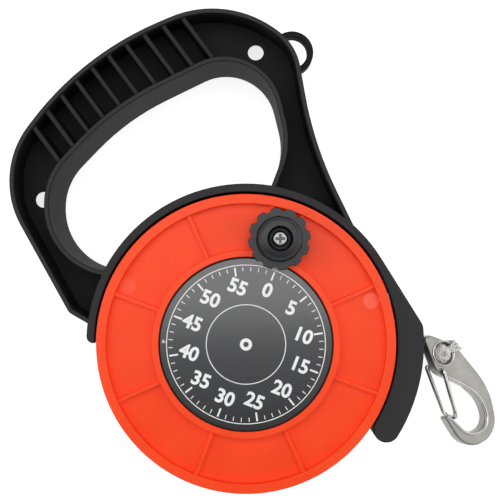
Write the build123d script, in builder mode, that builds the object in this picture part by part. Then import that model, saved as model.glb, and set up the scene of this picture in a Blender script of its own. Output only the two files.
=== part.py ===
from build123d import *
import os
from math import acos, atan2, cos, degrees, hypot, pi, radians, sin, tan

os.makedirs("parts", exist_ok=True)

# A hand-held dive reel: a moulded frame with a D-grip, a line spool that turns on one
# bolt, a winding knob on the spool's front tray, a thumb lever that locks the spool, and
# a snap hook on the line's end.
# The spool's axis is Z through the origin. The reel lies on its back at Z = 0, the knob
# side is up, and the grip points to +Y and -X.

# Spool and hood, in plan
spool_radius = 79.0
hood_gap = 1.4
hood_wall = 4.4
hood_inner_radius = spool_radius + hood_gap
hood_outer_radius = hood_inner_radius + hood_wall
hood_start = 180.0
hood_end = -31.5
hood_end_round = 3.6

# Stack along the axle, from the table up
frame_depth = 40.0
web_thickness = 4.0
web_bottom = (frame_depth - web_thickness) / 2
web_top = web_bottom + web_thickness
lever_room = 10.0
plate_lift = web_bottom - lever_room
plate_thickness = 3.0
plate_top = plate_lift + plate_thickness
boss_rise = 1.0
boss_top = plate_top + boss_rise
spool_lift = 1.4
flange_bottom = plate_top + spool_lift
ratchet_thickness = 2.2
rear_disc_thickness = 1.4
ratchet_top = flange_bottom + ratchet_thickness
drum_bottom = ratchet_top + rear_disc_thickness
floor_sink = 3.8
floor_bottom = frame_depth - floor_sink
drum_width = floor_bottom - drum_bottom
floor_thickness = 2.5
floor_top = floor_bottom + floor_thickness
rim_height = 4.5
rim_top = floor_top + rim_height
washer_thickness = 1.0
axial_play = 0.1
hub_bottom = boss_top + washer_thickness + axial_play
nut_recess = 1.5
hub_top = floor_bottom - nut_recess
overrun = 1.0

# Fits
running_fit = 0.06
loose_fit = 0.15
soft_gap = 0.3

# Handle: the blade's outline stands out from the hood by shares of the handle's height
handle_height = 94.4
rim_wall = 2.6
blade_root_share = 0.15
outer_angles = (170.2, 149.7, 140.9, 119.8, 93.5, 80.5, 71.1)
outer_shares = (0.1123, 0.6436, 0.8172, 0.9674, 1.073, 0.8115, 0.2828)
outer_tangent_shares = (0.06, 0.43, 0.555, 0.69, 0.69, 0.27, 0.5)
outer_root_angles = (178.8, 30.5)
grip_angles = (158.4, 140.0, 118.8, 87.3, 78.3)
grip_shares = (0.2945, 0.5487, 0.6133, 0.8231, 0.2373)
grip_tangent_shares = (0.68, 0.3, 0.477, 0.597, 0.32)
grip_root_angles = (147.6, 83.8)

# Cross ribs of the grip, evenly spaced between the first and the last
rib_count = 10
rib_width = 2.4
rib_drop = 1.2
rib_lean = 2.3
rib_reach = 46.0
first_rib_angle, first_rib_share = 98.9, 0.836
last_rib_angle, last_rib_share = 135.1, 0.696

# Holes in the web for a lanyard or a clip, and the lanyard ring on the outer wall
web_hole_radius = 4.4
web_hole_angles = (88.1, 145.5)
web_hole_shares = (0.786, 0.549)
lanyard_angle, lanyard_share = 80.95, 0.799
lanyard_radius = 11.8
lanyard_hole_radius = 8.5
lanyard_thickness = 8.0

# Tail of the hood, hollow from behind, with the window that the line runs out through
tail_width = 9.7
tail_radius = hood_outer_radius + tail_width
tail_tangent_angle = 32.0
tail_shoulder_radius = 8.0
tail_plate = 3.0
window_angle = 9.5
window_radius = 88.0
window_heading = -51.5
window_length = 52.0
window_width = 12.0
window_lift = 2.0
window_bottom = plate_top + window_lift
window_drop = 5.0
window_height = frame_depth - window_drop - window_bottom

# Rear plate: stiffening ring, radial ribs and drain holes
plate_ring_width = 3.0
plate_rib_count = 8
plate_rib_width = 2.4
plate_rib_share = 0.625
plate_rib_height = plate_rib_share * plate_lift
drain_radius = 10.0
drain_inset = 31.0
drain_circle_radius = spool_radius - drain_inset
boss_radius = 14.0

# Axle: a hex-head bolt through a sleeve, with a lock nut under the cap
bolt_radius = 3.0
bolt_head_flats = 10.0
bolt_head_height = 4.0
bolt_end = 0.8
sleeve_radius = 5.0
washer_radius = 9.0
nut_flats = 10.0
nut_height = 5.0
nut_collar_height = 1.4
nut_recess_radius = 9.8

# Spool mouldings
winding_room = 33.0
drum_radius = spool_radius - winding_room
drum_wall = 2.4
hub_radius = 12.0
rim_width = 5.0
ring_width = 3.5
ring_height = 6.1
ledge_width = 2.0
cap_thickness = 2.0
cap_fit = 0.25
spoke_count = 6
spoke_width = 2.2
tray_rib_count = 8
tray_rib_first = 24.2
tray_rib_width = 1.8
tray_rib_height = 3.0
pocket_half_angle = 6.4
pocket_inset_angle = 1.0
pocket_sink = 1.4
notch_pitch = 7.5
notch_depth = 3.2
notch_open_width = 7.2
notch_floor_width = 3.0
rear_recess_radius = 15.5
screw_count = 4
screw_inset = 9.0
screw_circle_radius = drum_radius - screw_inset
screw_first_angle = 15.0
screw_post_radius = 3.6
screw_radius = 1.5
screw_length = 14.0
screw_head_radius = 3.0
screw_head_height = 1.8

# Label disc on the cap
label_margin = 1.0
label_radius = drum_radius - label_margin
label_thickness = 0.3

# Winding knob and what it turns on
knob_angle = 72.6
knob_inset = 21.2
knob_circle_radius = spool_radius - knob_inset
skirt_radius = 16.2
skirt_height = 5.0
lobe_count = 12
lobe_notch_radius = 1.8
lobe_notch_depth = 1.1
groove_depth = 1.2
groove_height = 1.0
barrel_radius = 12.0
barrel_top_radius = 11.2
barrel_height = 12.5
barrel_round = 1.6
knob_recess_radius = 6.3
knob_recess_depth = 5.0
knob_boss_radius = 8.0
knob_boss_height = 6.4
knob_gap = 0.6
knob_sleeve_radius = 4.0
knob_washer_radius = 5.4
knob_washer_thickness = 0.8
knob_screw_radius = 2.0
knob_screw_head_radius = 4.0
knob_screw_head_height = 2.4
cross_width = 1.2
cross_reach = 4.6
cross_depth = 1.4
small_cross_reach = 3.4
insert_radius = 3.2
insert_length = 6.0
insert_sink = 0.5

# Locking lever in the rear channel of the handle's right arm
pivot_angle = 68.6
pivot_standoff = 8.6
pivot_boss_radius = 5.0
pivot_boss_drop = 1.8
lever_gap = 0.3
lever_thickness = 4.2
lever_turn = 14.0
lever_eye_radius = 6.0
lever_arm_width = 5.0
pawl_tip_angle = 60.0
pawl_tip_gap = 1.2
pawl_tip_width = 2.2
pawl_thickness = 2.5
thumb_reach = 19.9
thumb_heading = 112.4
thumb_width = 4.2
thumb_length = 12.0
thumb_drop = 8.0
shoulder_radius = 2.5
lever_screw_head_radius = 4.5
lever_screw_head_height = 2.4
lever_washer_thickness = 0.6
lever_thread_radius = 1.8
lever_thread_length = 4.4
slot_angle = 62.7
slot_width = 17.2

# Click ball and its spring, in a boss beside the pivot
click_reach = 13.0
click_boss_radius = 3.0
ball_radius = 1.5
ball_show = 1.2
click_groove_gap = 0.15
click_pocket_length = 4.6
spring_wire = 0.4
spring_radius = 1.1
spring_turns = 4

# Line on the drum, and its lead to the snap
line_diameter = 1.7
line_radius = line_diameter / 2
pack_drop = 7.2
pack_radius = spool_radius - pack_drop
turn_gap = 0.45
end_gap = 0.5
samples_per_turn = 72

# Snap hook, lying beside the tail with its gate side raised. The eye's centre stands off
# the tail, and the outline is in shares of the length, along and across from the eye
snap_standoff = 15.8
snap_angle = -4.7
snap_eye_z = 10.9
snap_heading = -70.6
snap_roll = -22.0
snap_length = 70.0
snap_thickness = 6.6
snap_eye_radius = 5.8
snap_edge_share = 0.0171429
snap_edge_round = snap_length * snap_edge_share
hook_shares = (
    (-0.231, -0.128),
    (-0.031, 0.131),
    (0.420, 0.313),
    (0.786, 0.239),
    (0.799, -0.107),
    (0.464, -0.187),
    (0.478, -0.138),
    (0.694, -0.029),
    (0.681, 0.177),
    (0.474, 0.187),
    (0.319, 0.096),
    (0.127, -0.120),
)
hook_tangent_shares = (
    0.3, 0.27, 0.45, 0.45, 0.49, 0.64, 0.34, 0.49, 0.49, 0.49, 0.12, 0.19
)

# Wire gate: its pivot, and the bends of its two legs in shares of the snap's length, with
# a side of the hook as a share of the legs' offset from the hook's middle plane
gate_wire_radius = 1.2
gate_leg_gap = 0.5
gate_pin_sink = 1.7
gate_pivot_shares = (0.119, -0.070)
gate_bend_shares = (
    (0.461, -0.098, 1.0),
    (0.508, -0.093, 0.68),
    (0.508, -0.093, -0.68),
    (0.467, -0.115, -1.0),
    (0.058, -0.122, -1.0),
)
gate_tangent_share = 0.45

# Knot in the eye: a ball of line, and wraps round the eye's rim, each at an angle and out
# to a reach that clears the rim
knot_ball_radius = 4.7
knot_rise = 0.8
knot_stub_radius = 1.1
wrap_angles = (84.0, 98.0, 112.0)
wrap_rim_shares = (0.155, 0.137, 0.126)

# Route of the line from the winding, out through the tail's window, down beside the snap
# and under its rim to the knot: how far it stands off the hood, its angle and its height
lead_places = (
    (-9.89, 41.16, 25.0),
    (-6.81, 26.83, 25.6),
    (-0.39, 11.90, 24.0),
    (6.87, 3.44, 20.5),
    (12.49, -2.47, 17.0),
    (12.69, -2.53, 7.4),
    (15.75, -3.08, 4.2),
    (20.03, -3.81, 4.2),
    (23.36, -4.33, 7.1),
)
lead_tangent_share = 0.48


def polar(radius, angle):
    """Point at a radius and an angle in degrees about the spool's axis."""
    return (radius * cos(radians(angle)), radius * sin(radians(angle)))


def hand_point(angle, share):
    """Point of the handle, out from the hood by a share of the handle's height."""
    return polar(hood_outer_radius + share * handle_height, angle)


def corner_radii(points, shares):
    """Radii whose tangents take a share of the shorter edge at each inner corner."""
    radii = []
    for before, corner, after, share in zip(points, points[1:], points[2:], shares):
        edge_in = Vector(*corner) - Vector(*before)
        edge_out = Vector(*after) - Vector(*corner)
        half_turn = radians(edge_in.get_angle(edge_out)) / 2
        radii.append(share * min(edge_in.length, edge_out.length) / tan(half_turn))
    return radii


def ring_sector(inner, outer, start, end):
    """Face between two radii and two angles about the spool's axis."""
    with BuildSketch(mode=Mode.PRIVATE) as sector:
        with BuildLine():
            outside = CenterArc((0, 0), outer, start, end - start)
            inside = CenterArc((0, 0), inner, start, end - start)
            Line(outside @ 0, inside @ 0)
            Line(outside @ 1, inside @ 1)
        make_face()
    return sector.sketch


def column(radius, bottom, top, hole=0):
    """Round column or tube on the spool's axis, between two heights."""
    with BuildSketch(Plane.XY.offset(bottom)) as section:
        Circle(radius)
        if hole > 0:
            Circle(hole, mode=Mode.SUBTRACT)
    extrude(section.sketch, amount=top - bottom)


# Outlines of the handle, each closed through the hood, where the spool's well is cut
root_radius = hood_inner_radius - blade_root_share * hood_inner_radius
outer_points = (
    [polar(root_radius, outer_root_angles[0])]
    + [hand_point(angle, share) for angle, share in zip(outer_angles, outer_shares)]
    + [polar(hood_inner_radius - hood_gap, outer_root_angles[1])]
)
grip_points = (
    [polar(root_radius, grip_root_angles[0])]
    + [hand_point(angle, share) for angle, share in zip(grip_angles, grip_shares)]
    + [polar(root_radius, grip_root_angles[1])]
)

with BuildSketch(mode=Mode.PRIVATE) as blade_outline:
    with BuildLine():
        blade_edge = FilletPolyline(
            *outer_points, radius=corner_radii(outer_points, outer_tangent_shares)
        )
        Polyline(blade_edge @ 1, (0, 0), blade_edge @ 0)
    make_face()

with BuildSketch(mode=Mode.PRIVATE) as grip_outline:
    with BuildLine():
        grip_edge = FilletPolyline(
            *grip_points, radius=corner_radii(grip_points, grip_tangent_shares)
        )
        Line(grip_edge @ 1, grip_edge @ 0)
    make_face()

# The channels: inside the blade's wall, round the grip's wall, outside the hood
with BuildSketch(mode=Mode.PRIVATE) as channel:
    add(blade_outline.sketch)
    offset(amount=-rim_wall)
    with BuildSketch(mode=Mode.PRIVATE) as grip_wall:
        add(grip_outline.sketch)
        offset(amount=rim_wall)
    add(grip_wall.sketch, mode=Mode.SUBTRACT)
    Circle(hood_outer_radius, mode=Mode.SUBTRACT)

first_rib = Vector(*hand_point(first_rib_angle, first_rib_share))
last_rib = Vector(*hand_point(last_rib_angle, last_rib_share))
rib_row = last_rib - first_rib
rib_turn = degrees(atan2(rib_row.Y, rib_row.X)) + 90 + rib_lean

with BuildSketch(mode=Mode.PRIVATE) as cross_ribs:
    for place in range(rib_count):
        centre = first_rib + rib_row * (place / (rib_count - 1))
        with Locations((centre.X, centre.Y)):
            Rectangle(rib_reach, rib_width, rotation=rib_turn)
    add(channel.sketch, mode=Mode.INTERSECT)

web_holes = [hand_point(angle, share) for angle, share in zip(web_hole_angles, web_hole_shares)]
lanyard_centre = hand_point(lanyard_angle, lanyard_share)

# Lever: the pivot stands off the hood, the pawl's tip waits just outside the ratchet
pivot_x, pivot_y = polar(hood_outer_radius + pivot_standoff, pivot_angle)
tip_x, tip_y = polar(spool_radius + pawl_tip_gap, pawl_tip_angle)
lever_top = web_bottom - pivot_boss_drop - lever_gap
lever_bottom = lever_top - lever_thickness
pawl_length = hypot(tip_x - pivot_x, tip_y - pivot_y)
pawl_heading = degrees(atan2(tip_y - pivot_y, tip_x - pivot_x))
click_heading = thumb_heading - lever_turn / 2


def from_pivot(reach, heading):
    """Point at a reach and a heading from the lever's pivot."""
    return (pivot_x + reach * cos(radians(heading)), pivot_y + reach * sin(radians(heading)))


click_centre = from_pivot(click_reach, click_heading)

# Frame: one moulding of handle, hood, tail and rear plate
bolt_hole_radius = bolt_radius + running_fit
tail_touch = polar(hood_outer_radius, tail_tangent_angle)
tail_corner_angle = tail_tangent_angle - degrees(acos(hood_outer_radius / tail_radius))
tail_end_radius = (tail_radius - hood_inner_radius) / 2
tail_end_centre = polar(hood_inner_radius + tail_end_radius, hood_end)

with BuildSketch(mode=Mode.PRIVATE) as tail_outline:
    with BuildLine():
        tail_inside = CenterArc(
            (0, 0), hood_inner_radius, hood_end, tail_tangent_angle - hood_end
        )
        Line(tail_inside @ 1, tail_touch)
        Line(tail_touch, polar(tail_radius, tail_corner_angle))
        tail_outside = CenterArc(
            (0, 0), tail_radius, tail_corner_angle, hood_end - tail_corner_angle
        )
        Line(tail_outside @ 1, tail_inside @ 0)
    make_face()
    shoulder = tail_outline.vertices().sort_by_distance(polar(tail_radius, tail_corner_angle))
    fillet(shoulder[0], tail_shoulder_radius)
    with Locations(tail_end_centre):
        Circle(tail_end_radius)

with BuildSketch(mode=Mode.PRIVATE) as tail_hollow:
    add(tail_outline.sketch)
    offset(amount=-rim_wall)
    Circle(hood_outer_radius, mode=Mode.SUBTRACT)

with BuildPart() as frame:
    # Blade of the handle, with the grip's opening and a channel in each face
    with BuildSketch():
        add(blade_outline.sketch)
        add(grip_outline.sketch, mode=Mode.SUBTRACT)
    extrude(amount=frame_depth)
    with BuildSketch(Plane.XY.offset(web_top)):
        add(channel.sketch)
    extrude(amount=web_bottom, mode=Mode.SUBTRACT)
    with BuildSketch():
        add(channel.sketch)
    extrude(amount=web_bottom, mode=Mode.SUBTRACT)
    # Cross ribs of the grip, one set in each channel, a little below the rims
    with BuildSketch(Plane.XY.offset(rib_drop)):
        add(cross_ribs.sketch)
    extrude(amount=frame_depth - 2 * rib_drop)
    # Lanyard ring, kept to the outside of the handle's wall
    with BuildSketch(Plane.XY.offset((frame_depth - lanyard_thickness) / 2)):
        with Locations(lanyard_centre):
            Circle(lanyard_radius)
            Circle(lanyard_hole_radius, mode=Mode.SUBTRACT)
        with BuildSketch(mode=Mode.PRIVATE) as wall_core:
            add(blade_outline.sketch)
            offset(amount=-rim_wall / 2)
        add(wall_core.sketch, mode=Mode.SUBTRACT)
    extrude(amount=lanyard_thickness)
    # Two holes through the web
    with BuildSketch(Plane.XY.offset(web_bottom)):
        with Locations(*web_holes):
            Circle(web_hole_radius)
    extrude(amount=web_thickness, mode=Mode.SUBTRACT)
    # Well of the spool, then the hood's wall round it
    with BuildSketch():
        Circle(hood_inner_radius)
    extrude(amount=frame_depth, mode=Mode.SUBTRACT)
    with BuildSketch() as hood_section:
        add(ring_sector(hood_inner_radius, hood_outer_radius, hood_start, hood_end))
        hood_corner = polar(hood_outer_radius, hood_start)
        fillet(hood_section.vertices().sort_by_distance(hood_corner)[0], hood_end_round)
    extrude(amount=frame_depth)
    # Tail, hollow from behind
    with BuildSketch():
        add(tail_outline.sketch)
    extrude(amount=frame_depth)
    with BuildSketch():
        add(tail_hollow.sketch)
    extrude(amount=frame_depth - tail_plate, mode=Mode.SUBTRACT)
    # Rear plate with its stiffening ring, radial ribs, boss and drain holes
    plate_ring_inner = spool_radius - plate_ring_width
    with BuildSketch(Plane.XY.offset(plate_lift)):
        Circle(spool_radius)
    extrude(amount=plate_thickness)
    with BuildSketch():
        Circle(spool_radius)
        Circle(plate_ring_inner, mode=Mode.SUBTRACT)
        add(ring_sector(plate_ring_inner, hood_inner_radius + overrun, hood_start, hood_end))
    extrude(amount=plate_top)
    plate_step = 360 / plate_rib_count
    with BuildSketch(Plane.XY.offset(plate_lift - plate_rib_height)):
        with PolarLocations(plate_ring_inner / 2, plate_rib_count):
            Rectangle(plate_ring_inner + plate_ring_width, plate_rib_width)
    extrude(amount=plate_rib_height)
    with BuildSketch():
        Circle(boss_radius)
    extrude(amount=boss_top)
    with BuildSketch(Plane.XY.offset(plate_lift)):
        with PolarLocations(drain_circle_radius, plate_rib_count, start_angle=plate_step / 2):
            Circle(drain_radius)
    extrude(amount=plate_thickness, mode=Mode.SUBTRACT)
    # Bolt hole, and a hex pocket behind it that holds the bolt's head
    with BuildSketch():
        Circle(bolt_hole_radius)
    extrude(amount=boss_top, mode=Mode.SUBTRACT)
    with BuildSketch():
        RegularPolygon(bolt_head_flats / 2 + loose_fit, 6, major_radius=False)
    extrude(amount=bolt_head_height, mode=Mode.SUBTRACT)
    # Window through the tail for the line
    with BuildSketch(Plane.XY.offset(window_bottom)):
        with Locations(polar(window_radius, window_angle)):
            Rectangle(window_length, window_width, rotation=window_heading)
        Circle(hood_inner_radius - hood_gap, mode=Mode.SUBTRACT)
    extrude(amount=window_height, mode=Mode.SUBTRACT)
    # Slot through the hood for the pawl
    slot_bottom = plate_top
    slot_height = lever_top + lever_gap - plate_top
    with BuildSketch(Plane.XY.offset(slot_bottom)):
        with Locations(polar(hood_inner_radius + hood_wall / 2, slot_angle)):
            Rectangle(2 * hood_wall, slot_width, rotation=slot_angle)
    extrude(amount=slot_height, mode=Mode.SUBTRACT)
    # Bosses on the web for the lever's screw and the click ball
    with BuildSketch(Plane.XY.offset(web_bottom - pivot_boss_drop)):
        with Locations((pivot_x, pivot_y)):
            Circle(pivot_boss_radius)
        with Locations(click_centre):
            Circle(click_boss_radius)
    extrude(amount=pivot_boss_drop)
    with BuildSketch(Plane.XY.offset(web_bottom - pivot_boss_drop)):
        with Locations((pivot_x, pivot_y)):
            Circle(lever_thread_radius + running_fit)
        with Locations(click_centre):
            Circle(ball_radius + running_fit)
    extrude(amount=click_pocket_length, mode=Mode.SUBTRACT)
frame.part.label = "frame"
export_step(frame.part, "parts/frame.step")

# Axle: bolt from behind, sleeve, two washers, lock nut
rear_washer_bottom = boss_top
sleeve_bottom = rear_washer_bottom + washer_thickness
sleeve_top = hub_top + axial_play
front_washer_top = sleeve_top + washer_thickness
bolt_tip = front_washer_top + nut_height + bolt_end

with BuildPart() as axle_bolt:
    with BuildSketch():
        RegularPolygon(bolt_head_flats / 2, 6, major_radius=False)
    extrude(amount=bolt_head_height)
    with BuildSketch():
        Circle(bolt_radius)
    extrude(amount=bolt_tip)
    chamfer(axle_bolt.edges().filter_by(GeomType.CIRCLE).sort_by(Axis.Z)[-1], bolt_end / 2)
axle_bolt.part.label = "axle_bolt"
export_step(axle_bolt.part, "parts/axle_bolt.step")

with BuildPart() as axle_sleeve:
    column(sleeve_radius, sleeve_bottom, sleeve_top, hole=bolt_hole_radius)
axle_sleeve.part.label = "axle_sleeve"
export_step(axle_sleeve.part, "parts/axle_sleeve.step")

with BuildPart() as rear_washer:
    column(washer_radius, rear_washer_bottom, sleeve_bottom, hole=bolt_hole_radius)
rear_washer.part.label = "rear_washer"
export_step(rear_washer.part, "parts/rear_washer.step")

with BuildPart() as front_washer:
    column(washer_radius, sleeve_top, front_washer_top, hole=bolt_hole_radius)
front_washer.part.label = "front_washer"
export_step(front_washer.part, "parts/front_washer.step")

with BuildPart() as axle_nut:
    with BuildSketch(Plane.XY.offset(front_washer_top)):
        RegularPolygon(nut_flats / 2, 6, major_radius=False)
        Circle(bolt_hole_radius, mode=Mode.SUBTRACT)
    extrude(amount=nut_height - nut_collar_height)
    collar_bottom = front_washer_top + nut_height - nut_collar_height
    column(nut_flats / 2, collar_bottom, front_washer_top + nut_height, hole=bolt_hole_radius)
axle_nut.part.label = "axle_nut"
export_step(axle_nut.part, "parts/axle_nut.step")

# Places on the spool
hub_bore = sleeve_radius + running_fit
knob_x, knob_y = polar(knob_circle_radius, knob_angle)
ring_inner = drum_radius
ring_outer = ring_inner + ring_width
rim_inner = spool_radius - rim_width
cap_bottom = floor_top + ring_height - cap_thickness - label_thickness
knob_boss_top = floor_top + knob_boss_height
insert_top = knob_boss_top - insert_sink
insert_bottom = insert_top - insert_length
screw_bottom = flange_bottom + screw_head_height
tray_rib_step = 360 / tray_rib_count
tray_rib_angles = [
    tray_rib_first + tray_rib_step * place
    for place in range(tray_rib_count)
    if abs(tray_rib_first + tray_rib_step * place - knob_angle) > tray_rib_step / 2
] + [knob_angle - pocket_half_angle, knob_angle + pocket_half_angle]

# Spool, front moulding: drum, hub and the tray that the knob stands in
with BuildPart() as spool_front:
    column(spool_radius, floor_bottom, floor_top)
    column(spool_radius, floor_top, rim_top, hole=rim_inner)
    column(ring_outer, floor_top, floor_top + ring_height, hole=ring_inner)
    column(ring_inner, floor_top, cap_bottom, hole=ring_inner - ledge_width)
    column(drum_radius, drum_bottom, floor_bottom, hole=drum_radius - drum_wall)
    column(hub_radius, drum_bottom, floor_top)
    # Webs between hub and drum
    spoke_length = drum_radius - drum_wall / 2 - hub_radius / 2
    with BuildSketch(Plane.XY.offset(drum_bottom)):
        with PolarLocations(hub_radius / 2 + spoke_length / 2, spoke_count):
            Rectangle(spoke_length, spoke_width)
    extrude(amount=drum_width)
    # Posts for the screws that hold the rear flange
    with BuildSketch(Plane.XY.offset(drum_bottom)):
        with PolarLocations(screw_circle_radius, screw_count, start_angle=screw_first_angle):
            Circle(screw_post_radius)
    extrude(amount=drum_width)
    # Tray ribs, and the boss under the knob
    rib_run = rim_inner - ring_outer + rim_width
    with BuildSketch(Plane.XY.offset(floor_top)):
        for angle in tray_rib_angles:
            with Locations(polar(ring_outer + rib_run / 2 - ring_width / 2, angle)):
                Rectangle(rib_run, tray_rib_width, rotation=angle)
    extrude(amount=tray_rib_height)
    with BuildSketch(Plane.XY.offset(floor_top)):
        with Locations((knob_x, knob_y)):
            Circle(knob_boss_radius)
    extrude(amount=knob_boss_height)
    # Sunk pocket round the boss, between the two short ribs
    with BuildSketch(Plane.XY.offset(floor_top - pocket_sink)):
        add(
            ring_sector(
                ring_outer + tray_rib_width,
                rim_inner,
                knob_angle - pocket_half_angle + pocket_inset_angle,
                knob_angle + pocket_half_angle - pocket_inset_angle,
            )
        )
        with Locations((knob_x, knob_y)):
            Circle(knob_boss_radius, mode=Mode.SUBTRACT)
    extrude(amount=pocket_sink, mode=Mode.SUBTRACT)
    # Bores: hub, nut recess, screw posts, insert
    column_cut = drum_width + floor_thickness
    with BuildSketch(Plane.XY.offset(drum_bottom)):
        Circle(hub_bore)
    extrude(amount=column_cut, mode=Mode.SUBTRACT)
    with BuildSketch(Plane.XY.offset(hub_top)):
        Circle(nut_recess_radius)
    extrude(amount=floor_top - hub_top, mode=Mode.SUBTRACT)
    with BuildSketch(Plane.XY.offset(drum_bottom)):
        with PolarLocations(screw_circle_radius, screw_count, start_angle=screw_first_angle):
            Circle(screw_radius + running_fit)
    extrude(amount=screw_length, mode=Mode.SUBTRACT)
    with BuildSketch(Plane.XY.offset(insert_bottom)):
        with Locations((knob_x, knob_y)):
            Circle(insert_radius + running_fit)
    extrude(amount=knob_boss_top - insert_bottom, mode=Mode.SUBTRACT)
spool_front.part.label = "spool_front"
export_step(spool_front.part, "parts/spool_front.step")

# The notch that the pawl drops into, set out from the pawl's tip at its stop
stop_heading = pawl_heading - lever_turn
stop_x, stop_y = from_pivot(pawl_length, stop_heading)
notch_angle = degrees(atan2(stop_y, stop_x))
notch_count = round(360 / notch_pitch)

# Spool, rear flange: a ratchet ring with a plain disc in front of it
with BuildPart() as spool_rear:
    column(spool_radius, flange_bottom, drum_bottom)
    with BuildSketch(Plane.XY.offset(flange_bottom)):
        with PolarLocations(spool_radius, notch_count, start_angle=notch_angle):
            Polygon(
                (overrun, -notch_open_width / 2),
                (0, -notch_open_width / 2),
                (-notch_depth, -notch_floor_width / 2),
                (-notch_depth, notch_floor_width / 2),
                (0, notch_open_width / 2),
                (overrun, notch_open_width / 2),
                align=None,
            )
    extrude(amount=ratchet_thickness, mode=Mode.SUBTRACT)
    with BuildSketch(Plane.XY.offset(flange_bottom)):
        Circle(rear_recess_radius)
    extrude(amount=hub_bottom - flange_bottom, mode=Mode.SUBTRACT)
    with BuildSketch(Plane.XY.offset(flange_bottom)):
        Circle(hub_bore)
    extrude(amount=drum_bottom - flange_bottom, mode=Mode.SUBTRACT)
    with BuildSketch(Plane.XY.offset(flange_bottom)):
        with PolarLocations(screw_circle_radius, screw_count, start_angle=screw_first_angle):
            Circle(screw_radius + running_fit)
    extrude(amount=drum_bottom - flange_bottom, mode=Mode.SUBTRACT)
    with BuildSketch(Plane.XY.offset(flange_bottom)):
        with PolarLocations(screw_circle_radius, screw_count, start_angle=screw_first_angle):
            Circle(screw_head_radius + running_fit)
    extrude(amount=screw_head_height, mode=Mode.SUBTRACT)
spool_rear.part.label = "spool_rear"
export_step(spool_rear.part, "parts/spool_rear.step")

with BuildPart() as spool_screws:
    with BuildSketch(Plane.XY.offset(flange_bottom)):
        with PolarLocations(screw_circle_radius, screw_count, start_angle=screw_first_angle):
            Circle(screw_head_radius)
    extrude(amount=screw_head_height)
    with BuildSketch(Plane.XY.offset(screw_bottom)):
        with PolarLocations(screw_circle_radius, screw_count, start_angle=screw_first_angle):
            Circle(screw_radius)
    extrude(amount=drum_bottom + screw_length - screw_bottom - axial_play)
    with BuildSketch(Plane.XY.offset(flange_bottom)):
        with PolarLocations(screw_circle_radius, screw_count, start_angle=screw_first_angle):
            Rectangle(small_cross_reach, cross_width)
            Rectangle(cross_width, small_cross_reach)
    extrude(amount=screw_head_height / 2, mode=Mode.SUBTRACT)
spool_screws.part.label = "spool_screws"
export_step(spool_screws.part, "parts/spool_screws.step")

with BuildPart() as hub_cap:
    column(ring_inner - cap_fit, cap_bottom, cap_bottom + cap_thickness)
hub_cap.part.label = "hub_cap"
export_step(hub_cap.part, "parts/hub_cap.step")

with BuildPart() as label_disc:
    column(label_radius, cap_bottom + cap_thickness, cap_bottom + cap_thickness + label_thickness)
label_disc.part.label = "label_disc"
export_step(label_disc.part, "parts/label_disc.step")

# Winding knob: lobed skirt, groove and barrel, turning on a sleeve under a screw
knob_bottom = knob_boss_top + knob_gap
skirt_top = knob_bottom + skirt_height
barrel_bottom = skirt_top + groove_height
barrel_top = barrel_bottom + barrel_height
recess_floor = barrel_top - knob_recess_depth
knob_sleeve_top = recess_floor + axial_play
knob_washer_top = knob_sleeve_top + knob_washer_thickness
knob_bore = knob_sleeve_radius + running_fit

with BuildPart() as winding_knob:
    with BuildSketch(Plane.XY.offset(knob_bottom)):
        with Locations((knob_x, knob_y)):
            Circle(skirt_radius)
            with PolarLocations(skirt_radius + lobe_notch_radius - lobe_notch_depth, lobe_count):
                Circle(lobe_notch_radius, mode=Mode.SUBTRACT)
    extrude(amount=skirt_height)
    with BuildSketch(Plane.XY.offset(skirt_top)):
        with Locations((knob_x, knob_y)):
            Circle(barrel_radius - groove_depth)
    extrude(amount=groove_height)
    barrel_side = barrel_height - barrel_round
    with BuildSketch(Plane.XZ.offset(-knob_y)):
        with BuildLine():
            foot = Line((knob_x, barrel_bottom), (knob_x + barrel_radius, barrel_bottom))
            side = Line(foot @ 1, (knob_x + barrel_top_radius, barrel_bottom + barrel_side))
            crown = RadiusArc(
                side @ 1, (knob_x + barrel_top_radius - barrel_round, barrel_top), -barrel_round
            )
            Polyline(crown @ 1, (knob_x, barrel_top), foot @ 0)
        make_face()
    revolve(axis=Axis((knob_x, knob_y, 0), (0, 0, 1)))
    with BuildSketch(Plane.XY.offset(knob_bottom)):
        with Locations((knob_x, knob_y)):
            Circle(knob_bore)
    extrude(amount=barrel_top - knob_bottom, mode=Mode.SUBTRACT)
    with BuildSketch(Plane.XY.offset(recess_floor)):
        with Locations((knob_x, knob_y)):
            Circle(knob_recess_radius)
    extrude(amount=knob_recess_depth, mode=Mode.SUBTRACT)
winding_knob.part.label = "winding_knob"
export_step(winding_knob.part, "parts/winding_knob.step")

with BuildPart() as knob_sleeve:
    with BuildSketch(Plane.XY.offset(knob_boss_top)):
        with Locations((knob_x, knob_y)):
            Circle(knob_sleeve_radius)
            Circle(knob_screw_radius + running_fit, mode=Mode.SUBTRACT)
    extrude(amount=knob_sleeve_top - knob_boss_top)
knob_sleeve.part.label = "knob_sleeve"
export_step(knob_sleeve.part, "parts/knob_sleeve.step")

with BuildPart() as knob_washer:
    with BuildSketch(Plane.XY.offset(knob_sleeve_top)):
        with Locations((knob_x, knob_y)):
            Circle(knob_washer_radius)
            Circle(knob_screw_radius + running_fit, mode=Mode.SUBTRACT)
    extrude(amount=knob_washer_thickness)
knob_washer.part.label = "knob_washer"
export_step(knob_washer.part, "parts/knob_washer.step")

with BuildPart() as knob_insert:
    with BuildSketch(Plane.XY.offset(insert_bottom)):
        with Locations((knob_x, knob_y)):
            Circle(insert_radius)
            Circle(knob_screw_radius + running_fit, mode=Mode.SUBTRACT)
    extrude(amount=insert_length)
knob_insert.part.label = "knob_insert"
export_step(knob_insert.part, "parts/knob_insert.step")

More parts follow.
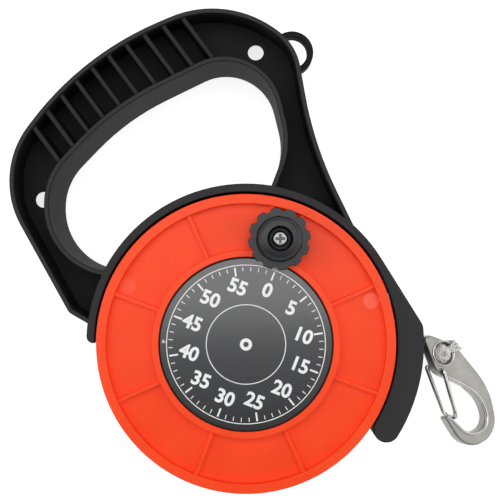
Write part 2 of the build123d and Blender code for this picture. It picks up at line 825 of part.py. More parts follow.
with BuildPart() as knob_screw:
    with BuildSketch(Plane.XY.offset(insert_bottom + insert_sink)):
        with Locations((knob_x, knob_y)):
            Circle(knob_screw_radius)
    extrude(amount=knob_washer_top - insert_bottom - insert_sink)
    with BuildSketch(Plane.XY.offset(knob_washer_top)):
        with Locations((knob_x, knob_y)):
            Circle(knob_screw_head_radius)
    extrude(amount=knob_screw_head_height)
    fillet(knob_screw.edges().filter_by(GeomType.CIRCLE).sort_by(Axis.Z)[-1], cross_depth)
    with BuildSketch(Plane.XY.offset(knob_washer_top + knob_screw_head_height - cross_depth)):
        with Locations((knob_x, knob_y)):
            Rectangle(cross_reach, cross_width)
            Rectangle(cross_width, cross_reach)
    extrude(amount=cross_depth, mode=Mode.SUBTRACT)
knob_screw.part.label = "knob_screw"
export_step(knob_screw.part, "parts/knob_screw.step")

# Locking lever: eye, pawl arm with a thinned tip, thumb arm with a pad at the back
groove_floor = lever_top - (ball_show - lever_gap) - click_groove_gap
groove_half_width = ball_radius + click_groove_gap
thumb_centre = from_pivot(thumb_reach, thumb_heading)
thumb_middle = from_pivot(thumb_reach / 2, thumb_heading)

with BuildPart() as lock_lever:
    with BuildSketch(Plane.XY.offset(lever_bottom)):
        with Locations((pivot_x, pivot_y)):
            Circle(lever_eye_radius)
        with Locations(thumb_middle):
            Rectangle(thumb_reach, lever_arm_width, rotation=thumb_heading)
        with Locations(thumb_centre):
            SlotOverall(thumb_length, thumb_width, rotation=thumb_heading)
    extrude(amount=lever_thickness)
    # Pawl, thin enough to pass under the rear flange's plain disc
    with BuildSketch(Plane.XY.offset(lever_bottom)):
        with BuildLine():
            across = radians(pawl_heading + 90)
            root_step = Vector(cos(across), sin(across)) * (lever_arm_width / 2)
            tip_step = Vector(cos(across), sin(across)) * (pawl_tip_width / 2)
            root, tip = Vector(pivot_x, pivot_y), Vector(tip_x, tip_y)
            Polyline(
                root + root_step,
                tip + tip_step,
                tip - tip_step,
                root - root_step,
                close=True,
            )
        make_face()
    extrude(amount=pawl_thickness)
    # Thumb pad, standing back towards the table
    with BuildSketch(Plane.XY.offset(lever_bottom - thumb_drop)):
        with Locations(thumb_centre):
            SlotOverall(thumb_length, thumb_width, rotation=thumb_heading)
    extrude(amount=thumb_drop)
    # Pivot hole, and the arc that the click ball rides in
    with BuildSketch(Plane.XY.offset(lever_bottom)):
        with Locations((pivot_x, pivot_y)):
            Circle(shoulder_radius + running_fit)
    extrude(amount=lever_thickness, mode=Mode.SUBTRACT)
    with BuildSketch(Plane.XY.offset(groove_floor)):
        with BuildLine():
            CenterArc(
                (pivot_x, pivot_y), click_reach, thumb_heading - lever_turn, 2 * lever_turn
            )
        trace(line_width=2 * groove_half_width)
    extrude(amount=lever_top - groove_floor, mode=Mode.SUBTRACT)
lock_lever.part.label = "lock_lever"
export_step(lock_lever.part, "parts/lock_lever.step")

lever_washer_top = lever_bottom - axial_play
lever_washer_bottom = lever_washer_top - lever_washer_thickness
boss_face = web_bottom - pivot_boss_drop

with BuildPart() as lever_washer:
    with BuildSketch(Plane.XY.offset(lever_washer_bottom)):
        with Locations((pivot_x, pivot_y)):
            Circle(lever_screw_head_radius)
            Circle(shoulder_radius + running_fit, mode=Mode.SUBTRACT)
    extrude(amount=lever_washer_thickness)
lever_washer.part.label = "lever_washer"
export_step(lever_washer.part, "parts/lever_washer.step")

with BuildPart() as lever_screw:
    with BuildSketch(Plane.XY.offset(lever_washer_bottom - lever_screw_head_height)):
        with Locations((pivot_x, pivot_y)):
            Circle(lever_screw_head_radius)
    extrude(amount=lever_screw_head_height)
    with BuildSketch(Plane.XY.offset(lever_washer_bottom)):
        with Locations((pivot_x, pivot_y)):
            Circle(shoulder_radius)
    extrude(amount=boss_face - lever_washer_bottom)
    with BuildSketch(Plane.XY.offset(boss_face)):
        with Locations((pivot_x, pivot_y)):
            Circle(lever_thread_radius)
    extrude(amount=lever_thread_length)
    with BuildSketch(Plane.XY.offset(lever_washer_bottom - lever_screw_head_height)):
        with Locations((pivot_x, pivot_y)):
            Rectangle(2 * lever_screw_head_radius, cross_width)
    extrude(amount=lever_screw_head_height / 2, mode=Mode.SUBTRACT)
lever_screw.part.label = "lever_screw"
export_step(lever_screw.part, "parts/lever_screw.step")

with BuildPart() as click_ball:
    with Locations((click_centre[0], click_centre[1], boss_face - ball_show + ball_radius)):
        Sphere(ball_radius)
click_ball.part.label = "click_ball"
export_step(click_ball.part, "parts/click_ball.step")

spring_bottom = boss_face - ball_show + 2 * ball_radius + spring_wire / 2 + axial_play
spring_top = boss_face + click_pocket_length - spring_wire / 2 - axial_play
with BuildPart() as click_spring:
    with BuildLine() as spring_line:
        Helix(
            (spring_top - spring_bottom) / spring_turns,
            spring_top - spring_bottom,
            spring_radius,
            center=(click_centre[0], click_centre[1], spring_bottom),
        )
    with BuildSketch(Plane(spring_line.line @ 0, z_dir=spring_line.line % 0)):
        Circle(spring_wire / 2)
    sweep(is_frenet=True)
click_spring.part.label = "click_spring"
export_step(click_spring.part, "parts/click_spring.step")

# Line on the drum: a plain pack, and the outer layer of turns round it
pack_bottom = drum_bottom + axial_play
pack_top = floor_bottom - axial_play

with BuildPart() as line_pack:
    column(pack_radius, pack_bottom, pack_top, hole=drum_radius + axial_play)
line_pack.part.label = "line_pack"
export_step(line_pack.part, "parts/line_pack.step")

turn_radius = pack_radius + soft_gap + line_radius
turn_room = drum_width - line_diameter - 2 * end_gap
turn_count = int(turn_room / (line_diameter + turn_gap))
turn_pitch = turn_room / turn_count
layer_start = drum_bottom + end_gap + line_radius


def layer_point(half_turns):
    """Point of the outer layer, after a number of half turns from its low end."""
    angle = 180 * half_turns
    x, y = polar(turn_radius, angle)
    return Vector(x, y, layer_start + turn_pitch * half_turns / 2)


with BuildPart() as line_layer:
    with BuildLine() as layer_path:
        Line(layer_point(0) - Vector(0, line_diameter, 0), layer_point(0))
        for half in range(2 * turn_count):
            middle = (layer_point(half) + layer_point(half + 1)) / 2
            bulge = turn_radius if half % 2 == 0 else -turn_radius
            ThreePointArc(
                layer_point(half), middle + Vector(0, bulge, 0), layer_point(half + 1)
            )
        last_point = layer_point(2 * turn_count)
        Line(last_point, last_point + Vector(0, line_diameter, 0))
    with BuildSketch(Plane(layer_path.line @ 0, z_dir=(0, 1, 0))):
        Circle(line_radius)
    sweep()
line_layer.part.label = "line_layer"
export_step(line_layer.part, "parts/line_layer.step")

# Least gap between neighbouring turns, measured on points round the layer
sample_count = samples_per_turn * turn_count
samples = [layer_path.line @ (step / sample_count) for step in range(sample_count + 1)]
layer_gap = min(
    (a - b).length - line_diameter
    for place, a in enumerate(samples)
    for b in samples[place + samples_per_turn // 2:]
)
print("least gap between turns of the outer layer", round(layer_gap, 3))

# Lead: the line from the winding to the knot
lead_points = [
    Vector(*polar(hood_outer_radius + standoff, angle), height)
    for standoff, angle, height in lead_places
]


def cord_radii(points, share):
    """Radii of a cord's arcs, each as large as a share of its two runs allows."""
    radii = []
    for before, corner, after in zip(points, points[1:], points[2:]):
        half_turn = radians((corner - before).get_angle(after - corner)) / 2
        run = min((corner - before).length, (after - corner).length)
        radii.append(share * run / tan(half_turn))
    return radii


lead_radii = cord_radii(lead_points, lead_tangent_share)
print("radii of the lead's arcs", [round(radius, 1) for radius in lead_radii])

with BuildPart() as line_lead:
    with BuildLine() as lead_path:
        FilletPolyline(*lead_points, radius=lead_radii)
    with BuildSketch(Plane(lead_path.line @ 0, z_dir=lead_path.line % 0)):
        Circle(line_radius)
    sweep()
line_lead.part.label = "line_lead"
export_step(line_lead.part, "parts/line_lead.step")
lead_length = lead_path.wire().length
print("length of the lead", round(lead_length, 1))
print("its tube's volume over section times length",
      round(line_lead.part.volume / (pi * line_radius**2 * lead_length), 5))

# Snap hook: one casting with an eye for the line and a hole for the gate's ends
heading = radians(snap_heading)
roll = radians(snap_roll)
snap_plane = Plane(
    origin=(*polar(tail_radius + snap_standoff, snap_angle), snap_eye_z),
    x_dir=(cos(heading), sin(heading), 0),
    z_dir=(sin(roll) * sin(heading), -sin(roll) * cos(heading), cos(roll)),
)
hook_points = [(along * snap_length, across * snap_length) for along, across in hook_shares]
hook_radii = corner_radii([hook_points[-1], *hook_points, hook_points[0]], hook_tangent_shares)
gate_pivot = tuple(share * snap_length for share in gate_pivot_shares)
gate_hole_radius = gate_wire_radius + running_fit

with BuildPart() as snap_body:
    with BuildSketch(snap_plane.offset(-snap_thickness / 2)):
        with BuildLine():
            FilletPolyline(*hook_points, radius=hook_radii, close=True)
        make_face()
    extrude(amount=snap_thickness)
    fillet(snap_body.faces().filter_by(snap_plane).edges(), snap_edge_round)
    # Eye, its rims rounded like the outline's edges
    eye_axis = Axis(snap_plane.origin, snap_plane.z_dir)
    half_thickness = snap_thickness / 2
    rim_radius = snap_eye_radius + snap_edge_round
    with BuildSketch(Plane(snap_plane.origin, snap_plane.x_dir, -snap_plane.y_dir)):
        with BuildLine():
            rim_low = JernArc((rim_radius, -half_thickness), (-1, 0), snap_edge_round, -90)
            bore = Line(rim_low @ 1, (snap_eye_radius, half_thickness - snap_edge_round))
            rim_high = JernArc(bore @ 1, (0, 1), snap_edge_round, -90)
            Polyline(rim_high @ 1, (0, half_thickness), (0, -half_thickness), rim_low @ 0)
        make_face()
    revolve(axis=eye_axis, mode=Mode.SUBTRACT)
    with BuildSketch(snap_plane.offset(-snap_thickness / 2)):
        with Locations(gate_pivot):
            Circle(gate_hole_radius)
    extrude(amount=snap_thickness, mode=Mode.SUBTRACT)
snap_body.part.label = "snap_body"
export_step(snap_body.part, "parts/snap_body.step")

# Wire gate, bent from one wire, its two ends in the hook's hole
leg_offset = snap_thickness / 2 + gate_leg_gap + gate_wire_radius
gate_points = (
    [(*gate_pivot, gate_pin_sink), (*gate_pivot, leg_offset)]
    + [
        (along * snap_length, across * snap_length, side * leg_offset)
        for along, across, side in gate_bend_shares
    ]
    + [(*gate_pivot, -leg_offset), (*gate_pivot, -gate_pin_sink)]
)
gate_radii = cord_radii([Vector(*point) for point in gate_points], gate_tangent_share)

with BuildPart() as snap_gate:
    with BuildLine(snap_plane) as gate_wire:
        FilletPolyline(*gate_points, radius=gate_radii)
    with BuildSketch(Plane(gate_wire.line @ 0, z_dir=gate_wire.line % 0)):
        Circle(gate_wire_radius)
    sweep()
snap_gate.part.label = "snap_gate"
export_step(snap_gate.part, "parts/snap_gate.step")

# Knot: a ball in the eye, wraps round the eye's rim, and a stub that the lead runs into
wrap_inside = snap_eye_radius - soft_gap - line_radius
wrap_side = snap_thickness / 2 + soft_gap + line_radius
wrap_round = snap_edge_round + soft_gap + line_radius
knot_centre = snap_plane.from_local_coords(Vector(0, 0, knot_rise))

with BuildPart() as line_knot:
    with Locations(knot_centre):
        Sphere(knot_ball_radius)
    for angle, rim_share in zip(wrap_angles, wrap_rim_shares):
        turn = radians(angle)
        wrap_outside = rim_share * snap_length + soft_gap + line_radius
        outward = snap_plane.from_local_coords(Vector(cos(turn), sin(turn), 0)) - snap_plane.origin
        wrap_plane = Plane(
            snap_plane.origin, x_dir=outward, z_dir=outward.cross(snap_plane.z_dir)
        )
        with BuildLine(wrap_plane) as wrap:
            FilletPolyline(
                (wrap_inside, -wrap_side),
                (wrap_outside, -wrap_side),
                (wrap_outside, wrap_side),
                (wrap_inside, wrap_side),
                radius=wrap_round,
                close=True,
            )
        with BuildSketch(Plane(wrap.line @ 0, z_dir=wrap.line % 0)):
            Circle(line_radius)
        sweep(path=wrap.line)
    lead_end = lead_points[-1]
    stub_run = (knot_centre - lead_end).length
    with BuildSketch(Plane(lead_end, z_dir=lead_points[-1] - lead_points[-2])):
        Circle(knot_stub_radius)
    extrude(amount=stub_run - knot_ball_radius / 2)
line_knot.part.label = "line_knot"
export_step(line_knot.part, "parts/line_knot.step")
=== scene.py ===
from math import pi, radians

import bmesh
import bpy
import numpy as np
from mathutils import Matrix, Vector


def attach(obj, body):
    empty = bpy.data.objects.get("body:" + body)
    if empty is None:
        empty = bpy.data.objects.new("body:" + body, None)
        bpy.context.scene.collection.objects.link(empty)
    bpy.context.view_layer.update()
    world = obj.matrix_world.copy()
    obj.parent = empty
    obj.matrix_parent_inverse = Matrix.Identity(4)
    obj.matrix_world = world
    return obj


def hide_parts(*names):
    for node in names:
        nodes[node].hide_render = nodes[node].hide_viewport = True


# A hand-held dive reel lying on its back: black moulded frame with a D-grip, orange line
# spool with a winding knob and a round label, and a steel snap hook on the line's end.
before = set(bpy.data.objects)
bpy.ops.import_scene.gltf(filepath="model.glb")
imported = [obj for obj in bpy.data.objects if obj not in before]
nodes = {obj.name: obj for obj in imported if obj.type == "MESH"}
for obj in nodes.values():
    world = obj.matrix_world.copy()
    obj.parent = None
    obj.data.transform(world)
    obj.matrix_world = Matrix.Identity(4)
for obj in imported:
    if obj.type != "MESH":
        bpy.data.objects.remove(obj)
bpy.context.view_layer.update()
mm = 0.001

# Camera, straight above the reel, so that the spool shows as a full disc and the hook
# side of the reel is at the right of the picture.
camera_place = Vector((2.1, 49.5, 460.0)) * mm
camera_lens = 57.06
sensor_width = 36.0
near_clip = 10.0 * mm

camera_data = bpy.data.cameras.new("camera")
camera_data.lens = camera_lens
camera_data.sensor_width = sensor_width
camera_data.clip_start = near_clip
camera = bpy.data.objects.new("camera", camera_data)
camera.location = camera_place
bpy.context.scene.collection.objects.link(camera)
bpy.context.scene.camera = camera


# Table and light: a white light table, and soft panels round the reel. The one overhead is
# what the glossy label mirrors, bright at its top, and the strip beside it the middle. The
# room is bright low down and dim overhead.
def link(name, data):
    """A new object for the data, in the scene."""
    made = bpy.data.objects.new(name, data)
    bpy.context.scene.collection.objects.link(made)
    return made


def sheet_mesh(name, points, wrap_across=False, wrap_along=False, ends=False):
    """Mesh on a grid of points, rows along by columns across. Each cell is one face, the
    columns or the rows may close on themselves, and the end rows may be filled."""
    rows, columns = points.shape[:2]
    place = np.arange(rows * columns).reshape(rows, columns)
    if wrap_across:
        place = np.hstack([place, place[:, :1]])
    if wrap_along:
        place = np.vstack([place, place[:1]])
    faces = np.stack([place[:-1, :-1], place[:-1, 1:], place[1:, 1:], place[1:, :-1]], axis=-1)
    faces = faces.reshape(-1, 4).tolist()
    if ends:
        faces += [place[0, :columns][::-1].tolist(), place[-1, :columns].tolist()]
    mesh = bpy.data.meshes.new(name)
    mesh.from_pydata(points.reshape(-1, 3).tolist(), [], faces)
    mesh.update()
    return mesh


table_half = 8.0
table_drop = 0.05 * mm
across, along = np.meshgrid([-table_half, table_half], [-table_half, table_half])
table_points = np.stack([across, along, np.full_like(across, -table_drop)], axis=-1)
table = link("table", sheet_mesh("table", table_points))

table_paint = bpy.data.materials.new("table_paint")
table_paint.use_nodes = True
paint = table_paint.node_tree.nodes["Principled BSDF"]
paint.inputs["Base Color"].default_value = (0.5, 0.5, 0.5, 1)
paint.inputs["Roughness"].default_value = 0.8
paint.inputs["Specular IOR Level"].default_value = 0.1
paint.inputs["Emission Color"].default_value = (1, 1, 1, 1)
paint.inputs["Emission Strength"].default_value = 0.8
table.data.materials.append(table_paint)


def soft_panel(name, place, aim, width, height, radiance):
    """Rectangular light at a place, facing a point. Its power is its radiance times its
    area times pi."""
    data = bpy.data.lights.new(name, "AREA")
    data.shape = "RECTANGLE"
    data.size = width
    data.size_y = height
    data.energy = radiance * width * height * pi
    panel = link(name, data)
    panel.location = place
    panel.rotation_euler = (Vector(aim) - Vector(place)).to_track_quat("-Z", "Y").to_euler()


reel_middle = (0.0, 0.04, 0.02)
soft_panel(
    "panel_overhead", place=(-0.05, 0.36, 0.90), aim=(-0.05, 0.36, 0.0),
    width=1.1, height=0.86, radiance=2.05,
)
soft_panel(
    "panel_strip", place=(-0.05, -0.145, 0.90), aim=(-0.05, -0.145, 0.0),
    width=1.1, height=0.14, radiance=0.36,
)
for name, place in (("panel_left", (-0.85, 0.10, 0.60)), ("panel_right", (0.85, 0.05, 0.60))):
    soft_panel(name, place, aim=reel_middle, width=0.7, height=0.9, radiance=1.2)
soft_panel(
    "panel_front", place=(0.05, -0.80, 0.45), aim=reel_middle,
    width=0.9, height=0.5, radiance=0.6,
)

room = bpy.data.worlds.new("room")
room.use_nodes = True
room_nodes = room.node_tree.nodes
room_glow = room_nodes["Background"]
room_glow.inputs["Color"].default_value = (1, 1, 1, 1)
room_way = room_nodes.new("ShaderNodeTexCoord")
room_axes = room_nodes.new("ShaderNodeSeparateXYZ")
room_fade = room_nodes.new("ShaderNodeMapRange")
room_fade.interpolation_type = "SMOOTHSTEP"
room_fade.inputs["From Min"].default_value = 0.05
room_fade.inputs["From Max"].default_value = 0.6
room_fade.inputs["To Min"].default_value = 0.95
room_fade.inputs["To Max"].default_value = 0.17
room.node_tree.links.new(room_way.outputs["Generated"], room_axes.inputs["Vector"])
room.node_tree.links.new(room_axes.outputs["Z"], room_fade.inputs["Value"])
room.node_tree.links.new(room_fade.outputs["Result"], room_glow.inputs["Strength"])
bpy.context.scene.world = room
bpy.context.scene.view_settings.view_transform = "Standard"


# Lead: the braided line's end, out of the winding, through the tail's window and down
# beside the snap, under its rim and up to the knot in its eye.
line_diameter = 1.7 * mm
lead_route = np.array([
    (56.4, 49.3, 25.0),
    (69.6, 35.2, 25.6),
    (82.6, 17.4, 24.0),
    (91.5, 5.5, 20.5),
    (97.2, -4.2, 17.0),
    (97.4, -4.3, 7.4),
    (100.4, -5.4, 4.2),
    (104.6, -7.0, 4.2),
    (107.9, -8.2, 7.1),
]) * mm
lead_side = (0.73, 0.68, 0.0)


def smooth_route(points):
    """Points along the smooth spline that a route's own points pull towards them."""
    curve = bpy.data.curves.new("route", "CURVE")
    curve.dimensions = "3D"
    curve.resolution_u = 16
    spline = curve.splines.new("NURBS")
    spline.points.add(len(points) - 1)
    spline.points.foreach_set("co", np.hstack([points, np.ones((len(points), 1))]).ravel())
    spline.order_u = 3
    spline.use_endpoint_u = True
    holder = bpy.data.objects.new("route", curve)
    line = bpy.data.meshes.new_from_object(holder)
    read = np.empty(3 * len(line.vertices))
    line.vertices.foreach_get("co", read)
    bpy.data.objects.remove(holder)
    bpy.data.curves.remove(curve)
    bpy.data.meshes.remove(line)
    return read.reshape(-1, 3)


def lay_map(mesh, across, along):
    """Map for a mesh made on a grid: across and along at each corner of each cell."""
    u = np.stack([across[:-1, :-1], across[:-1, 1:], across[1:, 1:], across[1:, :-1]], axis=-1)
    v = np.stack([along[:-1, :-1], along[:-1, 1:], along[1:, 1:], along[1:, :-1]], axis=-1)
    spots = np.zeros((len(mesh.loops), 2))
    spots[: u.size] = np.stack([u.ravel(), v.ravel()], axis=-1)
    mesh.uv_layers.new(name="braid").data.foreach_set("uv", spots.ravel())


def line_mesh(name, path, side, radius, closed=False, sides=14):
    """Round tube along a path: each ring is the path's point plus radius times cos and sin
    of the turn, along two axes square to the path. The map runs once across the turn and
    along the path in diameters, for the braid to follow."""
    step = np.roll(path, -1, 0) - np.roll(path, 1, 0) if closed else np.gradient(path, axis=0)
    ahead = step / np.linalg.norm(step, axis=1, keepdims=True)
    right = np.cross(ahead, side)
    right /= np.linalg.norm(right, axis=1, keepdims=True)
    up = np.cross(right, ahead)
    turn = np.linspace(0, 2 * pi, sides, endpoint=False)[None, :, None]
    rings = path[:, None] + radius * (np.cos(turn) * right[:, None] - np.sin(turn) * up[:, None])
    mesh = sheet_mesh(name, rings, wrap_across=True, wrap_along=closed, ends=not closed)
    mesh.shade_smooth()
    if closed:
        path = np.vstack([path, path[:1]])
    run = np.linalg.norm(np.diff(path, axis=0), axis=1)
    run = np.concatenate([[0], np.cumsum(run)]) / (2 * radius)
    around, along = np.meshgrid(np.arange(sides + 1) / sides, run)
    lay_map(mesh, around, along)
    return mesh


def wire_up(material, *links):
    """Joins sockets of a material's nodes, each link as node, output, node, input."""
    for source, output, target, socket in links:
        material.node_tree.links.new(source.outputs[output], target.inputs[socket])


def new_material(name, roughness, colour=(1, 1, 1)):
    """Plain material with its colour and roughness set, and the shader in it."""
    made = bpy.data.materials.new(name)
    made.use_nodes = True
    shader = made.node_tree.nodes["Principled BSDF"]
    shader.inputs["Roughness"].default_value = roughness
    shader.inputs["Base Color"].default_value = (*colour, 1)
    return made, shader


def make_node(material, kind, **settings):
    """Node of a kind in a material, with its properties set."""
    made = material.node_tree.nodes.new(kind)
    for name, value in settings.items():
        setattr(made, name, value)
    return made


def braided_line(name, light, groove_shade):
    """Braided polyester: two sets of strands wind round the line in opposite ways, and
    each set is a sine of the map's across plus or minus its along. Where the strands
    dip, the colour goes darker: painted shade in the grooves between them."""
    strands_around = 4
    turns_per_diameter = 1.1
    made, shader = new_material(name, roughness=0.62)
    chart = make_node(made, "ShaderNodeUVMap", uv_map="braid")
    split = make_node(made, "ShaderNodeSeparateXYZ")
    wire_up(made, (chart, "UV", split, "Vector"))
    waves = []
    for way in (1.0, -1.0):
        around = make_node(made, "ShaderNodeMath", operation="MULTIPLY")
        around.inputs[1].default_value = strands_around * 2 * pi
        lengthwise = make_node(made, "ShaderNodeMath", operation="MULTIPLY_ADD")
        lengthwise.inputs[1].default_value = way * 2 * pi * turns_per_diameter
        wave = make_node(made, "ShaderNodeMath", operation="SINE")
        wire_up(
            made,
            (split, "X", around, 0),
            (split, "Y", lengthwise, 0),
            (around, 0, lengthwise, 2),
            (lengthwise, 0, wave, 0),
        )
        waves.append(wave)
    crown = make_node(made, "ShaderNodeMath", operation="MAXIMUM")
    tint = make_node(made, "ShaderNodeValToRGB")
    tint.color_ramp.elements[0].position = 0.1
    tint.color_ramp.elements[0].color = (*groove_shade, 1)
    tint.color_ramp.elements[1].position = 0.9
    tint.color_ramp.elements[1].color = (*light, 1)
    bump = make_node(made, "ShaderNodeBump")
    bump.inputs["Strength"].default_value = 0.7
    bump.inputs["Distance"].default_value = 0.15 * mm
    wire_up(
        made,
        (waves[0], 0, crown, 0),
        (waves[1], 0, crown, 1),
        (crown, 0, tint, "Fac"),
        (tint, "Color", shader, "Base Color"),
        (crown, 0, bump, "Height"),
        (bump, "Normal", shader, "Normal"),
    )
    return made


white_braid = braided_line("white_braid", light=(0.86, 0.85, 0.81), groove_shade=(0.40, 0.39, 0.36))
lead_path = smooth_route(lead_route)
lead = link("lead", line_mesh("lead", lead_path, lead_side, line_diameter / 2))
lead.data.materials.append(white_braid)
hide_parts("line_lead")
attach(lead, "frame")


# Frame: one black glass-filled moulding of D-grip, hood, tail and rear plate. Its faces
# carry a fine spark-eroded grain, its walls the tool's lengthwise marks and parting line.
merge_reach = 1e-6
flat_within = radians(0.5)
sharp_from = radians(34.0)


def merged_copy(node, name, edge_radius=0.0, segments=2):
    """Copy of a CAD solid with its corners merged and its shading evened. Where a radius is
    given, its flat faces are made whole and its sharp edges rounded by that radius."""
    source = nodes[node].data
    spots = np.empty(3 * len(source.vertices))
    source.vertices.foreach_get("co", spots)
    spots, merged = np.unique(np.round(spots.reshape(-1, 3), 8), axis=0, return_inverse=True)
    triangles = np.empty(len(source.loops), dtype=int)
    source.loops.foreach_get("vertex_index", triangles)
    triangles = merged.ravel()[triangles].reshape(-1, 3)
    whole = (triangles != np.roll(triangles, 1, axis=1)).all(axis=1)
    mesh = bpy.data.meshes.new(name)
    mesh.from_pydata(spots.tolist(), [], triangles[whole].tolist())
    if edge_radius:
        joined = bmesh.new()
        joined.from_mesh(mesh)
        bmesh.ops.remove_doubles(joined, verts=joined.verts, dist=merge_reach)
        bmesh.ops.dissolve_limit(
            joined, angle_limit=flat_within, verts=joined.verts, edges=joined.edges
        )
        bmesh.ops.triangulate(joined, faces=joined.faces, ngon_method="BEAUTY")
        joined.to_mesh(mesh)
        joined.free()
    mesh.shade_smooth()
    mesh.set_sharp_from_angle(angle=sharp_from)
    made = link(name, mesh)
    if edge_radius:
        edges = made.modifiers.new("rounded_edges", "BEVEL")
        edges.width = edge_radius
        edges.segments = segments
        edges.limit_method = "ANGLE"
        edges.angle_limit = sharp_from
        edges.use_clamp_overlap = False
    even_shading(made)
    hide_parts(node)
    return made


def even_shading(piece):
    """Lets a piece's large faces decide its shading, so that they look flat."""
    even = piece.modifiers.new("even_shading", "WEIGHTED_NORMAL")
    even.keep_sharp = True


def grained_polymer(name, base, light, roughness, grain, streaks=0.0, specular=0.3):
    """Moulded polymer: a fine grain as bump, slow clouds in colour and gloss, and on the
    walls streaks that run level, from noise that changes fast with height alone."""
    made, shader = new_material(name, roughness)
    shader.inputs["Specular IOR Level"].default_value = specular
    place = make_node(made, "ShaderNodeTexCoord")
    clouds = make_node(made, "ShaderNodeTexNoise")
    clouds.inputs["Scale"].default_value = 60.0
    clouds.inputs["Detail"].default_value = 5.0
    tint = make_node(made, "ShaderNodeValToRGB")
    tint.color_ramp.elements[0].position = 0.3
    tint.color_ramp.elements[0].color = (*base, 1)
    tint.color_ramp.elements[1].position = 0.75
    tint.color_ramp.elements[1].color = (*light, 1)
    gloss = make_node(made, "ShaderNodeMapRange")
    gloss.inputs["To Min"].default_value = roughness - 0.06
    gloss.inputs["To Max"].default_value = roughness + 0.08
    fine = make_node(made, "ShaderNodeTexNoise")
    fine.inputs["Scale"].default_value = 3500.0
    fine.inputs["Detail"].default_value = 2.0
    grain_bump = make_node(made, "ShaderNodeBump")
    grain_bump.inputs["Strength"].default_value = grain
    grain_bump.inputs["Distance"].default_value = 0.08 * mm
    wire_up(
        made,
        (place, "Object", clouds, "Vector"),
        (place, "Object", fine, "Vector"),
        (clouds, "Fac", tint, "Fac"),
        (clouds, "Fac", gloss, "Value"),
        (tint, "Color", shader, "Base Color"),
        (gloss, "Result", shader, "Roughness"),
        (fine, "Fac", grain_bump, "Height"),
        (grain_bump, "Normal", shader, "Normal"),
    )
    if streaks:
        stretch = make_node(made, "ShaderNodeMapping")
        stretch.inputs["Scale"].default_value = (25.0, 25.0, 900.0)
        marks = make_node(made, "ShaderNodeTexNoise")
        marks.inputs["Scale"].default_value = 1.0
        marks.inputs["Detail"].default_value = 3.0
        mark_bump = make_node(made, "ShaderNodeBump")
        mark_bump.inputs["Strength"].default_value = streaks
        mark_bump.inputs["Distance"].default_value = 0.25 * mm
        wire_up(
            made,
            (place, "Object", stretch, "Vector"),
            (stretch, "Vector", marks, "Vector"),
            (marks, "Fac", mark_bump, "Height"),
            (mark_bump, "Normal", grain_bump, "Normal"),
        )
    return made


def add_parting_line(material, height, half_width, lift):
    """Parting line on a moulding's walls: a low ridge where the surface's height is within
    a half width of the tool's parting height, under the bumps that the material has."""
    place = make_node(material, "ShaderNodeTexCoord")
    split = make_node(material, "ShaderNodeSeparateXYZ")
    offset = make_node(material, "ShaderNodeMath", operation="SUBTRACT")
    offset.inputs[1].default_value = height
    away = make_node(material, "ShaderNodeMath", operation="ABSOLUTE")
    ridge = make_node(material, "ShaderNodeMapRange", interpolation_type="SMOOTHSTEP")
    ridge.inputs["From Min"].default_value = 0.0
    ridge.inputs["From Max"].default_value = half_width
    ridge.inputs["To Min"].default_value = 1.0
    ridge.inputs["To Max"].default_value = 0.0
    bump = make_node(material, "ShaderNodeBump")
    bump.inputs["Strength"].default_value = 1.0
    bump.inputs["Distance"].default_value = lift
    last_bump = next(
        node for node in material.node_tree.nodes
        if node.bl_idname == "ShaderNodeBump"
        and node != bump
        and not node.inputs["Normal"].is_linked
    )
    wire_up(
        material,
        (place, "Object", split, "Vector"),
        (split, "Z", offset, 0),
        (offset, 0, away, 0),
        (away, 0, ridge, "Value"),
        (ridge, "Result", bump, "Height"),
        (bump, "Normal", last_bump, "Normal"),
    )


def tint_by_height(material, bare, tinted, tint, level_only=False):
    """The colour goes over to a tint between two heights, on all faces or on those alone
    that lie level. It paints a highlight, paler, on level top faces, and paints shade,
    darker, at the bottom of a recess."""
    shader = material.node_tree.nodes["Principled BSDF"]
    place = make_node(material, "ShaderNodeTexCoord")
    split = make_node(material, "ShaderNodeSeparateXYZ")
    share = make_node(material, "ShaderNodeMapRange", interpolation_type="SMOOTHSTEP")
    share.inputs["From Min"].default_value = bare
    share.inputs["From Max"].default_value = tinted
    share.inputs["To Max"].default_value = 0.8
    blend = make_node(material, "ShaderNodeMix", data_type="RGBA")
    blend.inputs["B"].default_value = (*tint, 1)
    before = shader.inputs["Base Color"].links[0].from_socket
    material.node_tree.links.new(before, blend.inputs["A"])
    wire_up(
        material,
        (place, "Object", split, "Vector"),
        (split, "Z", share, "Value"),
        (share, "Result", blend, "Factor"),
        (blend, "Result", shader, "Base Color"),
    )
    if level_only:
        facing = make_node(material, "ShaderNodeSeparateXYZ")
        level = make_node(material, "ShaderNodeMapRange", interpolation_type="SMOOTHSTEP")
        level.inputs["From Min"].default_value = 0.8
        level.inputs["From Max"].default_value = 0.98
        both = make_node(material, "ShaderNodeMath", operation="MULTIPLY")
        wire_up(
            material,
            (place, "Normal", facing, "Vector"),
            (facing, "Z", level, "Value"),
            (share, "Result", both, 0),
            (level, "Result", both, 1),
            (both, 0, blend, "Factor"),
        )


frame_polymer = grained_polymer(
    "frame_polymer", base=(0.0075, 0.0075, 0.008), light=(0.0125, 0.0125, 0.013),
    roughness=0.66, grain=0.3, streaks=0.35, specular=0.14,
)
# The level top faces of the rims go paler here: a painted highlight.
tint_by_height(
    frame_polymer, bare=37.5 * mm, tinted=39.8 * mm, tint=(0.037, 0.037, 0.039),
    level_only=True,
)
add_parting_line(frame_polymer, height=20.0 * mm, half_width=0.16 * mm, lift=0.12 * mm)
reel_frame = merged_copy("frame", "reel_frame", edge_radius=0.6 * mm, segments=3)
reel_frame.data.materials.append(frame_polymer)
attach(reel_frame, "frame")


